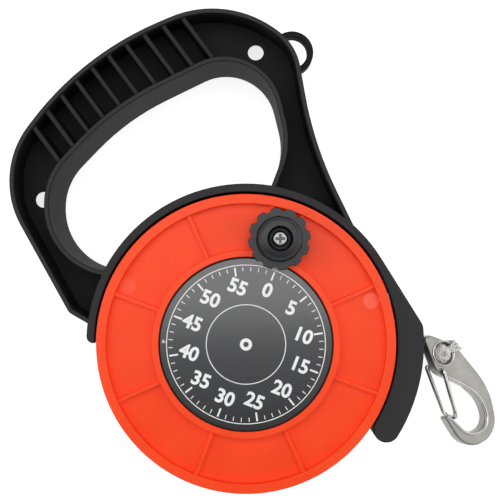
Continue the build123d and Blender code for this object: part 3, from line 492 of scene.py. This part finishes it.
# Axle: a hex-head bolt from behind, a nylon sleeve and washer that the spool turns on, a
# steel washer and a lock nut under the cap.
def worked_metal(name, colour, roughness, marks, scale=(400.0, 400.0, 400.0)):
    """Metal with slow clouds in its colour and fine tool marks in its gloss and bump, from
    noise drawn out by a scale per axis."""
    dark_share = 0.78
    made, shader = new_material(name, roughness, colour)
    shader.inputs["Metallic"].default_value = 1.0
    place = make_node(made, "ShaderNodeTexCoord")
    stretch = make_node(made, "ShaderNodeMapping")
    stretch.inputs["Scale"].default_value = scale
    noise = make_node(made, "ShaderNodeTexNoise")
    noise.inputs["Scale"].default_value = 1.0
    noise.inputs["Detail"].default_value = 4.0
    gloss = make_node(made, "ShaderNodeMapRange")
    gloss.inputs["To Min"].default_value = roughness - 0.1
    gloss.inputs["To Max"].default_value = roughness + 0.12
    clouds = make_node(made, "ShaderNodeTexNoise")
    clouds.inputs["Scale"].default_value = 110.0
    clouds.inputs["Detail"].default_value = 3.0
    tint = make_node(made, "ShaderNodeValToRGB")
    tint.color_ramp.elements[0].position = 0.3
    tint.color_ramp.elements[0].color = (*(dark_share * part for part in colour), 1)
    tint.color_ramp.elements[1].position = 0.7
    tint.color_ramp.elements[1].color = (*colour, 1)
    bump = make_node(made, "ShaderNodeBump")
    bump.inputs["Strength"].default_value = marks
    bump.inputs["Distance"].default_value = 0.1 * mm
    wire_up(
        made,
        (place, "Object", stretch, "Vector"),
        (stretch, "Vector", noise, "Vector"),
        (place, "Object", clouds, "Vector"),
        (clouds, "Fac", tint, "Fac"),
        (tint, "Color", shader, "Base Color"),
        (noise, "Fac", gloss, "Value"),
        (gloss, "Result", shader, "Roughness"),
        (noise, "Fac", bump, "Height"),
        (bump, "Normal", shader, "Normal"),
    )
    return made


def paint_node(node, material):
    """Gives a CAD solid that stays in view its material."""
    for place in nodes[node].material_slots:
        place.material = material


turned_steel = worked_metal("turned_steel", (0.58, 0.58, 0.56), roughness=0.28, marks=0.15)
natural_nylon = grained_polymer(
    "natural_nylon", base=(0.72, 0.70, 0.64), light=(0.80, 0.78, 0.72),
    roughness=0.4, grain=0.1, specular=0.5,
)
bolt = merged_copy("axle_bolt", "bolt", edge_radius=0.18 * mm)
bolt.data.materials.append(turned_steel)
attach(bolt, "frame")
for node in ("front_washer", "axle_nut", "lever_washer"):
    paint_node(node, turned_steel)
for node in ("axle_sleeve", "rear_washer", "knob_sleeve"):
    paint_node(node, natural_nylon)


# Spool: two orange mouldings screwed together. The front one has the ribbed tray, with two
# round marks where the tool's pins pushed it out, the rear one has the ratchet notches.
def add_pin_marks(material, spots, radius, tint):
    """Round marks on a level face, each an x and y in mm and a strength: it lightens the
    colour where the distance from its centre, height left out, is under the radius."""
    tree = material.node_tree
    shader = tree.nodes["Principled BSDF"]
    place = make_node(material, "ShaderNodeTexCoord")
    flat = make_node(material, "ShaderNodeVectorMath", operation="MULTIPLY")
    flat.inputs[1].default_value = (1, 1, 0)
    wire_up(material, (place, "Object", flat, 0))
    for x, y, strength in spots:
        away = make_node(material, "ShaderNodeVectorMath", operation="DISTANCE")
        away.inputs[1].default_value = (x * mm, y * mm, 0)
        mark = make_node(material, "ShaderNodeMapRange", interpolation_type="SMOOTHSTEP")
        mark.inputs["From Min"].default_value = radius - 0.25 * mm
        mark.inputs["From Max"].default_value = radius + 0.1 * mm
        mark.inputs["To Min"].default_value = strength
        mark.inputs["To Max"].default_value = 0.0
        lightened = make_node(material, "ShaderNodeMix", data_type="RGBA")
        lightened.inputs["B"].default_value = (*tint, 1)
        before = shader.inputs["Base Color"].links[0].from_socket
        tree.links.new(before, lightened.inputs["A"])
        wire_up(
            material,
            (flat, 0, away, 0),
            (away, "Value", mark, "Value"),
            (mark, "Result", lightened, "Factor"),
            (lightened, "Result", shader, "Base Color"),
        )


orange_polymer, tray_polymer = (
    grained_polymer(
        name, base=(0.92, 0.055, 0.006), light=(0.98, 0.068, 0.009),
        roughness=0.42, grain=0.12, specular=0.3,
    )
    for name in ("orange_polymer", "tray_polymer")
)
pin_marks = ((66.4, 22.4, 0.45), (-62.8, 30.4, 0.2))
add_pin_marks(tray_polymer, pin_marks, radius=4.25 * mm, tint=(0.95, 0.22, 0.14))
tray = merged_copy("spool_front", "tray", edge_radius=0.35 * mm)
tray.data.materials.append(tray_polymer)
flange = merged_copy("spool_rear", "flange", edge_radius=0.3 * mm)
flange.data.materials.append(orange_polymer)
for piece in (tray, flange):
    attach(piece, "spool")
flange_screws = merged_copy("spool_screws", "flange_screws", edge_radius=0.12 * mm)
flange_screws.data.materials.append(turned_steel)
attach(flange_screws, "spool")


# Winding: braided line wound level on the drum. The lower turns show as a ribbed drum, the
# outer layer as one line laid turn by turn, whose last turn climbs over it to the lead.
def turned_mesh(name, profile, centre=(0.0, 0.0), steps=128, closed=True):
    """Body of revolution: x and y are the profile's radius times cos and sin of the turn,
    from a centre, and z is its height. The profile goes up on its outer side."""
    turn = np.linspace(0, 2 * pi, steps, endpoint=False)
    radius, height = profile[:, :1], profile[:, 1:]
    points = np.stack([
        centre[0] + radius * np.cos(turn),
        centre[1] + radius * np.sin(turn),
        height + 0 * turn,
    ], axis=-1)
    return sheet_mesh(name, points, wrap_across=True, wrap_along=closed, ends=not closed)


pack_low, pack_high = 16.1 * mm, 36.1 * mm
pack_hole, pack_outer = 46.1 * mm, 71.8 * mm
pack_ribs, rib_depth = 11, 0.45 * mm
rib_steps = 8
pack_steps = 240
rise = np.linspace(0, 1, pack_ribs * rib_steps + 1)
ribbed = pack_outer - rib_depth * (1 - np.abs(np.sin(pi * pack_ribs * rise)))
pack_profile = np.vstack([
    np.stack([ribbed, pack_low + (pack_high - pack_low) * rise], axis=1),
    [(pack_hole, pack_high), (pack_hole, pack_low)],
])
pack_mesh = turned_mesh("lower_turns", pack_profile, steps=pack_steps)
around, across = np.meshgrid(
    np.arange(pack_steps + 1) * 2 * pi * pack_outer / pack_steps / line_diameter,
    np.arange(len(pack_profile) + 1) / rib_steps / 2,
)
lay_map(pack_mesh, across, around)
lower_turns = link("lower_turns", pack_mesh)
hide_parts("line_pack")

turn_radius = 72.95 * mm
turn_low, turn_pitch, turn_count = 17.35 * mm, 1.75 * mm, 10
turn_sway = 0.2 * mm
over_turn, lift_turn = radians(318.84), radians(28)
sink_turn, sink_depth = radians(40), 2.0 * mm
turn_steps = 1050
lead_start = lead_route[0]
# The angle runs from the first turn's end, sunk in the lower turns, down to the lead.
angle = np.linspace(turn_count * 2 * pi, -over_turn, turn_steps)
last = np.clip(-angle / over_turn, 0, 1)
climb = last ** 2 * (3 - 2 * last)
lift = np.clip(-angle / lift_turn, 0, 1)
sunk = np.clip((angle - turn_count * 2 * pi) / sink_turn + 1, 0, 1)
over_radius = np.hypot(lead_start[0], lead_start[1])
radius = turn_radius + (over_radius - turn_radius) * lift ** 2 * (3 - 2 * lift)
radius -= sink_depth * sunk ** 2
height = turn_low + turn_pitch * np.clip(angle, 0, None) / (2 * pi)
height += turn_sway * np.sin(2 * angle) * (1 - climb)
height += (lead_start[2] - turn_low) * climb
turn_path = np.stack([radius * np.cos(angle), radius * np.sin(angle), height], axis=1)
outer_turns = link(
    "outer_turns", line_mesh("outer_turns", turn_path, (0, 0, 1), line_diameter / 2)
)
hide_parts("line_layer")
for piece in (lower_turns, outer_turns):
    piece.data.materials.append(white_braid)
    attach(piece, "spool")


# Cap and label: a black cap on the hub, and a round glossy film stuck to it, printed with
# a plain dial of ticks and numbers that stands a little turned.
cap_polymer = grained_polymer(
    "cap_polymer", base=(0.007, 0.007, 0.008), light=(0.010, 0.010, 0.011),
    roughness=0.5, grain=0.2, specular=0.15,
)
cap = merged_copy("hub_cap", "cap", edge_radius=0.2 * mm)
cap.data.materials.append(cap_polymer)
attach(cap, "spool")

label_bottom, label_top = 44.5, 44.8
label_profile = np.array([
    (0.6, label_bottom), (44.8, label_bottom), (45.0, 44.56), (45.0, 44.68), (44.97, 44.75),
    (44.90, 44.79), (44.80, label_top), (43.5, label_top), (30.0, label_top),
    (15.0, label_top), (0.6, label_top),
]) * mm
label_film, label_shader = new_material("label_film", roughness=0.35)
label_shader.inputs["Specular IOR Level"].default_value = 0.2
label_shader.inputs["Coat Weight"].default_value = 1.0
label_shader.inputs["Coat Roughness"].default_value = 0.17
label_shader.inputs["Coat IOR"].default_value = 1.78
film_place = make_node(label_film, "ShaderNodeTexCoord")
film_clouds = make_node(label_film, "ShaderNodeTexNoise")
film_clouds.inputs["Scale"].default_value = 45.0
film_tint = make_node(label_film, "ShaderNodeValToRGB")
film_tint.color_ramp.elements[0].color = (0.006, 0.006, 0.008, 1)
film_tint.color_ramp.elements[1].color = (0.010, 0.011, 0.014, 1)
scuff_place = (-43.2 * mm, 1.5 * mm, label_top * mm)
scuff_spread, scuff_inset = 2.6 * mm, 0.4 * mm
scuff_away = make_node(label_film, "ShaderNodeVectorMath", operation="DISTANCE")
scuff_away.inputs[1].default_value = scuff_place
scuff_speck = make_node(label_film, "ShaderNodeTexNoise")
scuff_speck.inputs["Scale"].default_value = 900.0
scuff_reach = make_node(label_film, "ShaderNodeMath", operation="MULTIPLY_ADD")
scuff_reach.inputs[1].default_value = scuff_spread
scuff_reach.inputs[2].default_value = -scuff_inset
scuffed = make_node(label_film, "ShaderNodeMath", operation="LESS_THAN")
film_colour = make_node(label_film, "ShaderNodeMix", data_type="RGBA")
film_colour.inputs["B"].default_value = (0.42, 0.42, 0.44, 1)
film_wave = make_node(label_film, "ShaderNodeTexNoise")
film_wave.inputs["Scale"].default_value = 38.0
film_bump = make_node(label_film, "ShaderNodeBump")
film_bump.inputs["Strength"].default_value = 0.25
film_bump.inputs["Distance"].default_value = 0.3 * mm
wire_up(
    label_film,
    (film_place, "Object", film_clouds, "Vector"),
    (film_clouds, "Fac", film_tint, "Fac"),
    (film_place, "Object", scuff_away, 0),
    (film_place, "Object", scuff_speck, "Vector"),
    (scuff_speck, "Fac", scuff_reach, 0),
    (scuff_away, "Value", scuffed, 0),
    (scuff_reach, 0, scuffed, 1),
    (scuffed, 0, film_colour, "Factor"),
    (film_tint, "Color", film_colour, "A"),
    (film_colour, "Result", label_shader, "Base Color"),
    (film_place, "Object", film_wave, "Vector"),
    (film_wave, "Fac", film_bump, "Height"),
    (film_bump, "Normal", label_shader, "Coat Normal"),
)
label = link("label", turned_mesh("label", label_profile, steps=192, closed=False))
label.data.shade_smooth()
even_shading(label)
label.data.materials.append(label_film)
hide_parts("label_disc")


def tick_mesh(name, turns, inner, outer, half_width, low, high):
    """Flat bars, one per turn: corners at the inner and outer radius, a half width to each
    side, and at the low and high faces."""
    radius = np.array([inner, outer, outer, inner] * 2)
    side = np.array([-1, -1, 1, 1] * 2) * half_width
    rise = np.array([low] * 4 + [high] * 4)
    cos, sin = np.cos(turns)[:, None], np.sin(turns)[:, None]
    spots = np.stack([
        radius * cos - side * sin, radius * sin + side * cos, rise + 0 * cos
    ], axis=-1)
    box = np.array([
        (3, 2, 1, 0), (4, 5, 6, 7), (0, 1, 5, 4), (1, 2, 6, 5), (2, 3, 7, 6), (3, 0, 4, 7)
    ])
    faces = box[None] + 8 * np.arange(len(turns))[:, None, None]
    mesh = bpy.data.meshes.new(name)
    mesh.from_pydata(spots.reshape(-1, 3).tolist(), [], faces.reshape(-1, 4).tolist())
    return mesh


print_rise = 0.06 * mm


def number_mesh(number, size, boldness, middle, tilt, height):
    """A number's raised shape, its middle at a place and a height, turned by a tilt."""
    words = bpy.data.curves.new("number", "FONT")
    words.body = number
    words.size = size
    words.offset = boldness
    words.extrude = print_rise / 2
    words.align_x = "CENTER"
    words.align_y = "CENTER"
    words.resolution_u = 4
    holder = bpy.data.objects.new("number", words)
    mesh = bpy.data.meshes.new_from_object(holder)
    spots = np.empty(3 * len(mesh.vertices))
    mesh.vertices.foreach_get("co", spots)
    spots = spots.reshape(-1, 3)
    cos, sin = np.cos(tilt), np.sin(tilt)
    placed = np.stack([
        middle[0] + spots[:, 0] * cos - spots[:, 1] * sin,
        middle[1] + spots[:, 0] * sin + spots[:, 1] * cos,
        height + spots[:, 2],
    ], axis=-1)
    mesh.vertices.foreach_set("co", placed.ravel())
    bpy.data.objects.remove(holder)
    return mesh


dial_tilt = radians(-21.6)
print_low = label_top * mm - print_rise / 2
print_high = label_top * mm + print_rise / 2
tick_count, long_every = 60, 5
tick_end = 40.6 * mm
long_tick_start, long_tick_half = 36.0 * mm, 0.45 * mm
short_tick_start, short_tick_half = 38.4 * mm, 0.2 * mm
outer_ring, inner_ring, centre_ring = 41.4 * mm, 20.6 * mm, 1.4 * mm
centre_ring_widening = 4
number_radius, number_size, number_boldness = 30.2 * mm, 10.2 * mm, 0.3 * mm

tick_turns = dial_tilt + np.linspace(0, 2 * pi, tick_count, endpoint=False)
long_ticks = tick_turns[::long_every]
short_ticks = np.delete(tick_turns, np.arange(0, tick_count, long_every))
ring_shape = np.array([(0.0, 0.0), (0.45, 0.0), (0.45, 1.0), (0.0, 1.0)]) * (mm, print_rise)
printed = bmesh.new()
for part in (
    tick_mesh(
        "ticks", long_ticks, long_tick_start, tick_end, long_tick_half, print_low, print_high
    ),
    tick_mesh(
        "ticks", short_ticks, short_tick_start, tick_end, short_tick_half, print_low, print_high
    ),
    turned_mesh("band", ring_shape + (outer_ring, print_low), steps=192),
    turned_mesh("band", ring_shape + (inner_ring, print_low), steps=128),
    turned_mesh(
        "band", ring_shape * (centre_ring_widening, 1) + (centre_ring, print_low), steps=48
    ),
):
    printed.from_mesh(part)
number_count = tick_count // long_every
for place in range(number_count):
    turn = dial_tilt + pi / 2 - place * 2 * pi / number_count
    middle = (number_radius * np.cos(turn), number_radius * np.sin(turn))
    printed.from_mesh(
        number_mesh(
            str(long_every * place), number_size, number_boldness, middle, dial_tilt,
            label_top * mm,
        )
    )
bmesh.ops.remove_doubles(printed, verts=printed.verts, dist=merge_reach)
bmesh.ops.recalc_face_normals(printed, faces=printed.faces)
dial_mesh = bpy.data.meshes.new("dial")
printed.to_mesh(dial_mesh)
printed.free()
white_ink = grained_polymer(
    "white_ink", base=(0.80, 0.80, 0.80), light=(0.88, 0.88, 0.88),
    roughness=0.45, grain=0.1, specular=0.4,
)
dial = link("dial", dial_mesh)
dial.data.materials.append(white_ink)
for piece in (label, dial):
    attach(piece, "spool")


# Winding knob: a black barrel with a crowned top on a lobed skirt, one moulding that turns
# on a nylon sleeve, held by a washer and a cross-head screw into a brass insert.
def eased_profile(corners, steps=5):
    """Closed profile through corners, each a radius, a height and how far its rounding
    reaches: the corner, plus (1-t) squared of the way back and t squared of the way on."""
    corners = np.array(corners) * mm
    spot, reach = corners[:, :2], corners[:, 2:]
    back = np.roll(spot, 1, axis=0) - spot
    onward = np.roll(spot, -1, axis=0) - spot
    back *= reach / np.linalg.norm(back, axis=1, keepdims=True)
    onward *= reach / np.linalg.norm(onward, axis=1, keepdims=True)
    t = np.linspace(0, 1, steps)[None, :, None]
    curve = spot[:, None] + (1 - t) ** 2 * back[:, None] + t ** 2 * onward[:, None]
    return curve.reshape(-1, 2)


knob_x, knob_y = 17.28 * mm, 55.16 * mm
lobe_count, lobe_steps = 12, 32
notch_turn = radians(-7.3)
skirt_root, skirt_edge = 11.3, 16.2
notch_radius, notch_middle, notch_flare = 2.0, 16.7, 8.0
lobe_blend, blend_middle = 8.0, 16.0
knob_profile = eased_profile([
    (4.15, 45.7, 0.2), (skirt_edge, 45.7, 0.5), (skirt_edge, 50.7, 0.7), (11.75, 50.7, 0.25),
    (11.6, 49.2, 0.2), (10.1, 49.2, 0.2),
    (10.1, 51.7, 0.2), (10.95, 51.7, 0.2), (10.9, 62.2, 0.9), (9.9, 63.3, 0.9),
    (6.4, 64.2, 0.4), (6.3, 59.2, 0.15), (4.15, 59.2, 0.15),
], steps=7)
# Rows of the profile, seven to a corner, from the top's inner edge to the recess's floor.
recess_rows = (73, 90)
turn = np.linspace(0, 2 * pi, lobe_count * lobe_steps, endpoint=False)
away = (turn - notch_turn + pi / lobe_count) % (2 * pi / lobe_count) - pi / lobe_count
beside = np.clip(np.abs(notch_middle * np.sin(away)), 0, notch_radius)
notch = notch_middle * np.cos(away) - np.sqrt(notch_radius ** 2 - beside ** 2)
notch += notch_flare * np.clip(np.abs(notch_middle * np.sin(away)) - notch_radius, 0, None)
# The skirt's outline is the lesser of its round and the notches, blended where they meet.
blended = np.exp(-lobe_blend * (skirt_edge - blend_middle))
blended = blended + np.exp(-lobe_blend * (notch - blend_middle))
lobed = blend_middle - np.log(blended) / lobe_blend
profile_radius = knob_profile[:, :1] / mm
on_skirt = np.clip((profile_radius - skirt_root) / (skirt_edge - skirt_root), 0, 1)
knob_radius = (profile_radius + on_skirt * (lobed - skirt_edge)) * mm
knob_points = np.stack([
    knob_x + knob_radius * np.cos(turn),
    knob_y + knob_radius * np.sin(turn),
    knob_profile[:, 1:] + 0 * turn,
], axis=-1)
knob_polymer = grained_polymer(
    "knob_polymer", base=(0.011, 0.012, 0.015), light=(0.018, 0.020, 0.024),
    roughness=0.34, grain=0.15, specular=0.44,
)
# The recess round the screw is matte, and its darker colour there is painted shade.
recess_shade_polymer = grained_polymer(
    "recess_shade_polymer", base=(0.004, 0.004, 0.005), light=(0.006, 0.006, 0.008),
    roughness=0.75, grain=0.3, specular=0.08,
)
knob = link("knob", sheet_mesh("knob", knob_points, wrap_across=True, wrap_along=True))
knob.data.shade_smooth()
knob.data.set_sharp_from_angle(angle=radians(50))
even_shading(knob)
knob.data.materials.append(knob_polymer)
knob.data.materials.append(recess_shade_polymer)
row = np.arange(len(knob.data.polygons)) // len(turn)
in_recess = (row >= recess_rows[0]) & (row < recess_rows[1])
knob.data.polygons.foreach_set("material_index", in_recess.astype(np.int32))
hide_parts("winding_knob")
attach(knob, "knob")

cross_screw = merged_copy("knob_screw", "cross_screw", edge_radius=0.14 * mm)
screw_steel = worked_metal("screw_steel", (0.31, 0.305, 0.29), roughness=0.22, marks=0.1)
# The cross recess goes darker towards its floor: painted shade.
tint_by_height(screw_steel, bare=62.45 * mm, tinted=61.2 * mm, tint=(0.02, 0.02, 0.02))
cross_screw.data.materials.append(screw_steel)
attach(cross_screw, "spool")
black_oxide = worked_metal("black_oxide", (0.030, 0.030, 0.032), roughness=0.5, marks=0.15)
paint_node("knob_washer", black_oxide)
brass = worked_metal("brass", (0.76, 0.60, 0.30), roughness=0.3, marks=0.1)
paint_node("knob_insert", brass)


# Locking lever: an orange moulding in the channel behind the handle's right arm. It turns
# about a screw, and a click ball on a spring in the frame holds it.
lever = merged_copy("lock_lever", "lever", edge_radius=0.3 * mm)
lever.data.materials.append(orange_polymer)
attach(lever, "lever")
pivot_screw = merged_copy("lever_screw", "pivot_screw", edge_radius=0.15 * mm)
pivot_screw.data.materials.append(turned_steel)
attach(pivot_screw, "frame")
spring_steel = worked_metal("spring_steel", (0.5, 0.5, 0.5), roughness=0.3, marks=0.1)
for node in ("click_ball", "click_spring"):
    paint_node(node, spring_steel)


# Snap hook on the line's end: a tumbled stainless casting with a raised lip round the
# inside of its bow, and a spring gate bent from one drawn wire.
snap_heading, snap_roll = radians(-70.6), radians(-22.0)
snap_eye = np.array([109.93, -9.04, 10.9]) * mm
snap_length, snap_half = 70.0 * mm, 3.3 * mm
snap_along = np.array([np.cos(snap_heading), np.sin(snap_heading), 0.0])
snap_up = np.array([
    np.sin(snap_roll) * np.sin(snap_heading),
    -np.sin(snap_roll) * np.cos(snap_heading),
    np.cos(snap_roll),
])
snap_across = np.cross(snap_up, snap_along)


def on_snap(along, across, up):
    """Place on the snap: the eye's centre, plus each measure along its own axis."""
    measures = np.stack(np.broadcast_arrays(along, across, up), axis=-1)
    return snap_eye + measures @ np.stack([snap_along, snap_across, snap_up])


tumbled_steel = worked_metal(
    "tumbled_steel", (0.345, 0.34, 0.32), roughness=0.33, marks=0.35,
    scale=(260.0, 260.0, 260.0),
)
drawn_steel = worked_metal("drawn_steel", (0.62, 0.61, 0.59), roughness=0.16, marks=0.05)
hook = merged_copy("snap_body", "hook")
hook.data.materials.append(tumbled_steel)
lip_radius, lip_rise = 0.8 * mm, 0.1 * mm
lip_shares = np.array([
    (0.474, -0.160), (0.492, -0.140), (0.705, -0.034), (0.695, 0.188), (0.470, 0.200),
    (0.313, 0.106), (0.155, -0.080),
])
lip_route = on_snap(
    lip_shares[:, 0] * snap_length, lip_shares[:, 1] * snap_length, snap_half + lip_rise
)
lip = link("hook_lip", line_mesh("hook_lip", smooth_route(lip_route), snap_up, lip_radius))
eye_lip_ring, eye_lip_radius, eye_lip_sink = 6.9 * mm, 0.6 * mm, 0.05 * mm
eye_lip_turn = np.radians(np.linspace(121.0, 435.0, 90))
eye_lip_path = on_snap(
    eye_lip_ring * np.cos(eye_lip_turn),
    eye_lip_ring * np.sin(eye_lip_turn),
    snap_half - eye_lip_sink,
)
eye_lip = link("eye_lip", line_mesh("eye_lip", eye_lip_path, snap_up, eye_lip_radius))
# The lips take the wire's glossier steel, as a polished lip is glossier, and its paler colour,
# which is a painted highlight along the bow's edges.
for piece in (lip, eye_lip):
    piece.data.materials.append(drawn_steel)


def bent_path(corners, share, steps=9):
    """Path of a bent wire: each inner corner, plus (1-t) squared of the way back and t
    squared of the way on, each way a share of the shorter run beside the corner."""
    runs = np.diff(corners, axis=0)
    length = np.linalg.norm(runs, axis=1, keepdims=True)
    reach = share * np.minimum(length[:-1], length[1:])
    back = -runs[:-1] / length[:-1] * reach
    onward = runs[1:] / length[1:] * reach
    t = np.linspace(0, 1, steps)[None, :, None]
    curve = corners[1:-1, None] + (1 - t) ** 2 * back[:, None] + t ** 2 * onward[:, None]
    return np.vstack([corners[:1], curve.reshape(-1, 3), corners[-1:]])


gate_wire, gate_offset, gate_pin = 1.2 * mm, 5.0 * mm, 1.7 * mm
gate_bend = 0.45
gate_shares = np.array([
    (0.119, -0.070), (0.119, -0.070), (0.461, -0.098), (0.508, -0.093), (0.508, -0.093),
    (0.467, -0.115), (0.058, -0.122), (0.119, -0.070), (0.119, -0.070),
])
gate_sides = gate_offset * np.array([0.0, 1.0, 1.0, 0.68, -0.68, -1.0, -1.0, -1.0, 0.0])
gate_sides[[0, -1]] = gate_pin, -gate_pin
gate_corners = on_snap(
    gate_shares[:, 0] * snap_length, gate_shares[:, 1] * snap_length, gate_sides
)
gate_path = bent_path(gate_corners, gate_bend)
wire_gate = link(
    "wire_gate", line_mesh("wire_gate", gate_path, snap_across, gate_wire, sides=20)
)
wire_gate.data.materials.append(drawn_steel)
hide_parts("snap_gate")
for piece in (hook, lip, eye_lip):
    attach(piece, "frame")
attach(wire_gate, "gate")


# Knot: the line's end tied round itself into a ball that fills the snap's eye, with three
# wraps over the eye's rim, one beside the other.
knot_rise = 0.8 * mm
knot_middle = on_snap(0.0, 0.0, knot_rise)
strand_radius = line_diameter / 2
ball_radius = 5.35 * mm
ball_turns, steps_per_turn = 11, 60
weave_depth, weave_rate = 0.28 * mm, 2.5
sweep = np.linspace(0, 2 * pi * ball_turns, steps_per_turn * ball_turns, endpoint=False)
drift = sweep / ball_turns
sway = ball_radius - strand_radius + weave_depth * np.sin(weave_rate * sweep)
swing = radians(62)
ball_path = knot_middle + sway[:, None] * np.stack([
    np.cos(sweep) * np.cos(drift) - np.sin(sweep) * np.sin(drift) * np.cos(swing),
    np.cos(sweep) * np.sin(drift) + np.sin(sweep) * np.cos(drift) * np.cos(swing),
    np.sin(sweep) * np.sin(swing),
], axis=-1)
pole_gap = 0.02
core_rows, core_steps = 24, 40
rows_per_braid, steps_per_braid = 3, 8
fill = np.linspace(pole_gap, pi - pole_gap, core_rows)
core_radius = ball_radius - 1.5 * strand_radius
core_profile = core_radius * np.stack([np.sin(fill), -np.cos(fill)], axis=1)
core_profile[:, 1] += knot_middle[2]
core_mesh = turned_mesh("core", core_profile, knot_middle[:2], steps=core_steps, closed=False)
around, down = np.meshgrid(
    np.arange(core_steps + 1) / steps_per_braid, np.arange(core_rows) / rows_per_braid
)
lay_map(core_mesh, around, down)
core_mesh.shade_smooth()

wrap_inside, wrap_side, wrap_slack = 4.65 * mm, 4.45 * mm, 1.15 * mm
stub_radius = 1.1 * mm
round_turn = np.linspace(0, 2 * pi, 64, endpoint=False)
squareness = 2 / 4.5
square_cos = np.sign(np.cos(round_turn)) * np.abs(np.cos(round_turn)) ** squareness
square_sin = np.sign(np.sin(round_turn)) * np.abs(np.sin(round_turn)) ** squareness
knot_strands = [
    core_mesh,
    line_mesh("ball", ball_path, (0.0, 0.0, 1.0), strand_radius, closed=True, sides=10),
]
for wrap_angle, rim_share in ((84.0, 0.155), (98.0, 0.137), (112.0, 0.126)):
    wrap_outside = rim_share * snap_length + wrap_slack
    reach = (wrap_inside + wrap_outside) / 2 + (wrap_outside - wrap_inside) / 2 * square_cos
    wrap_turn = radians(wrap_angle)
    wrap_path = on_snap(
        reach * np.cos(wrap_turn), reach * np.sin(wrap_turn), wrap_side * square_sin
    )
    beside_wrap = -np.sin(wrap_turn) * snap_along + np.cos(wrap_turn) * snap_across
    knot_strands.append(line_mesh("wrap", wrap_path, beside_wrap, strand_radius, closed=True))
stub_path = np.linspace(lead_route[-1], knot_middle, 8)
knot_strands.append(line_mesh("stub", stub_path, lead_side, stub_radius))
tied = bmesh.new()
for strand in knot_strands:
    tied.from_mesh(strand)
knot_mesh = bpy.data.meshes.new("knot")
tied.to_mesh(knot_mesh)
tied.free()
knot = link("knot", knot_mesh)
knot.data.materials.append(white_braid)
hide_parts("line_knot")
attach(knot, "frame")
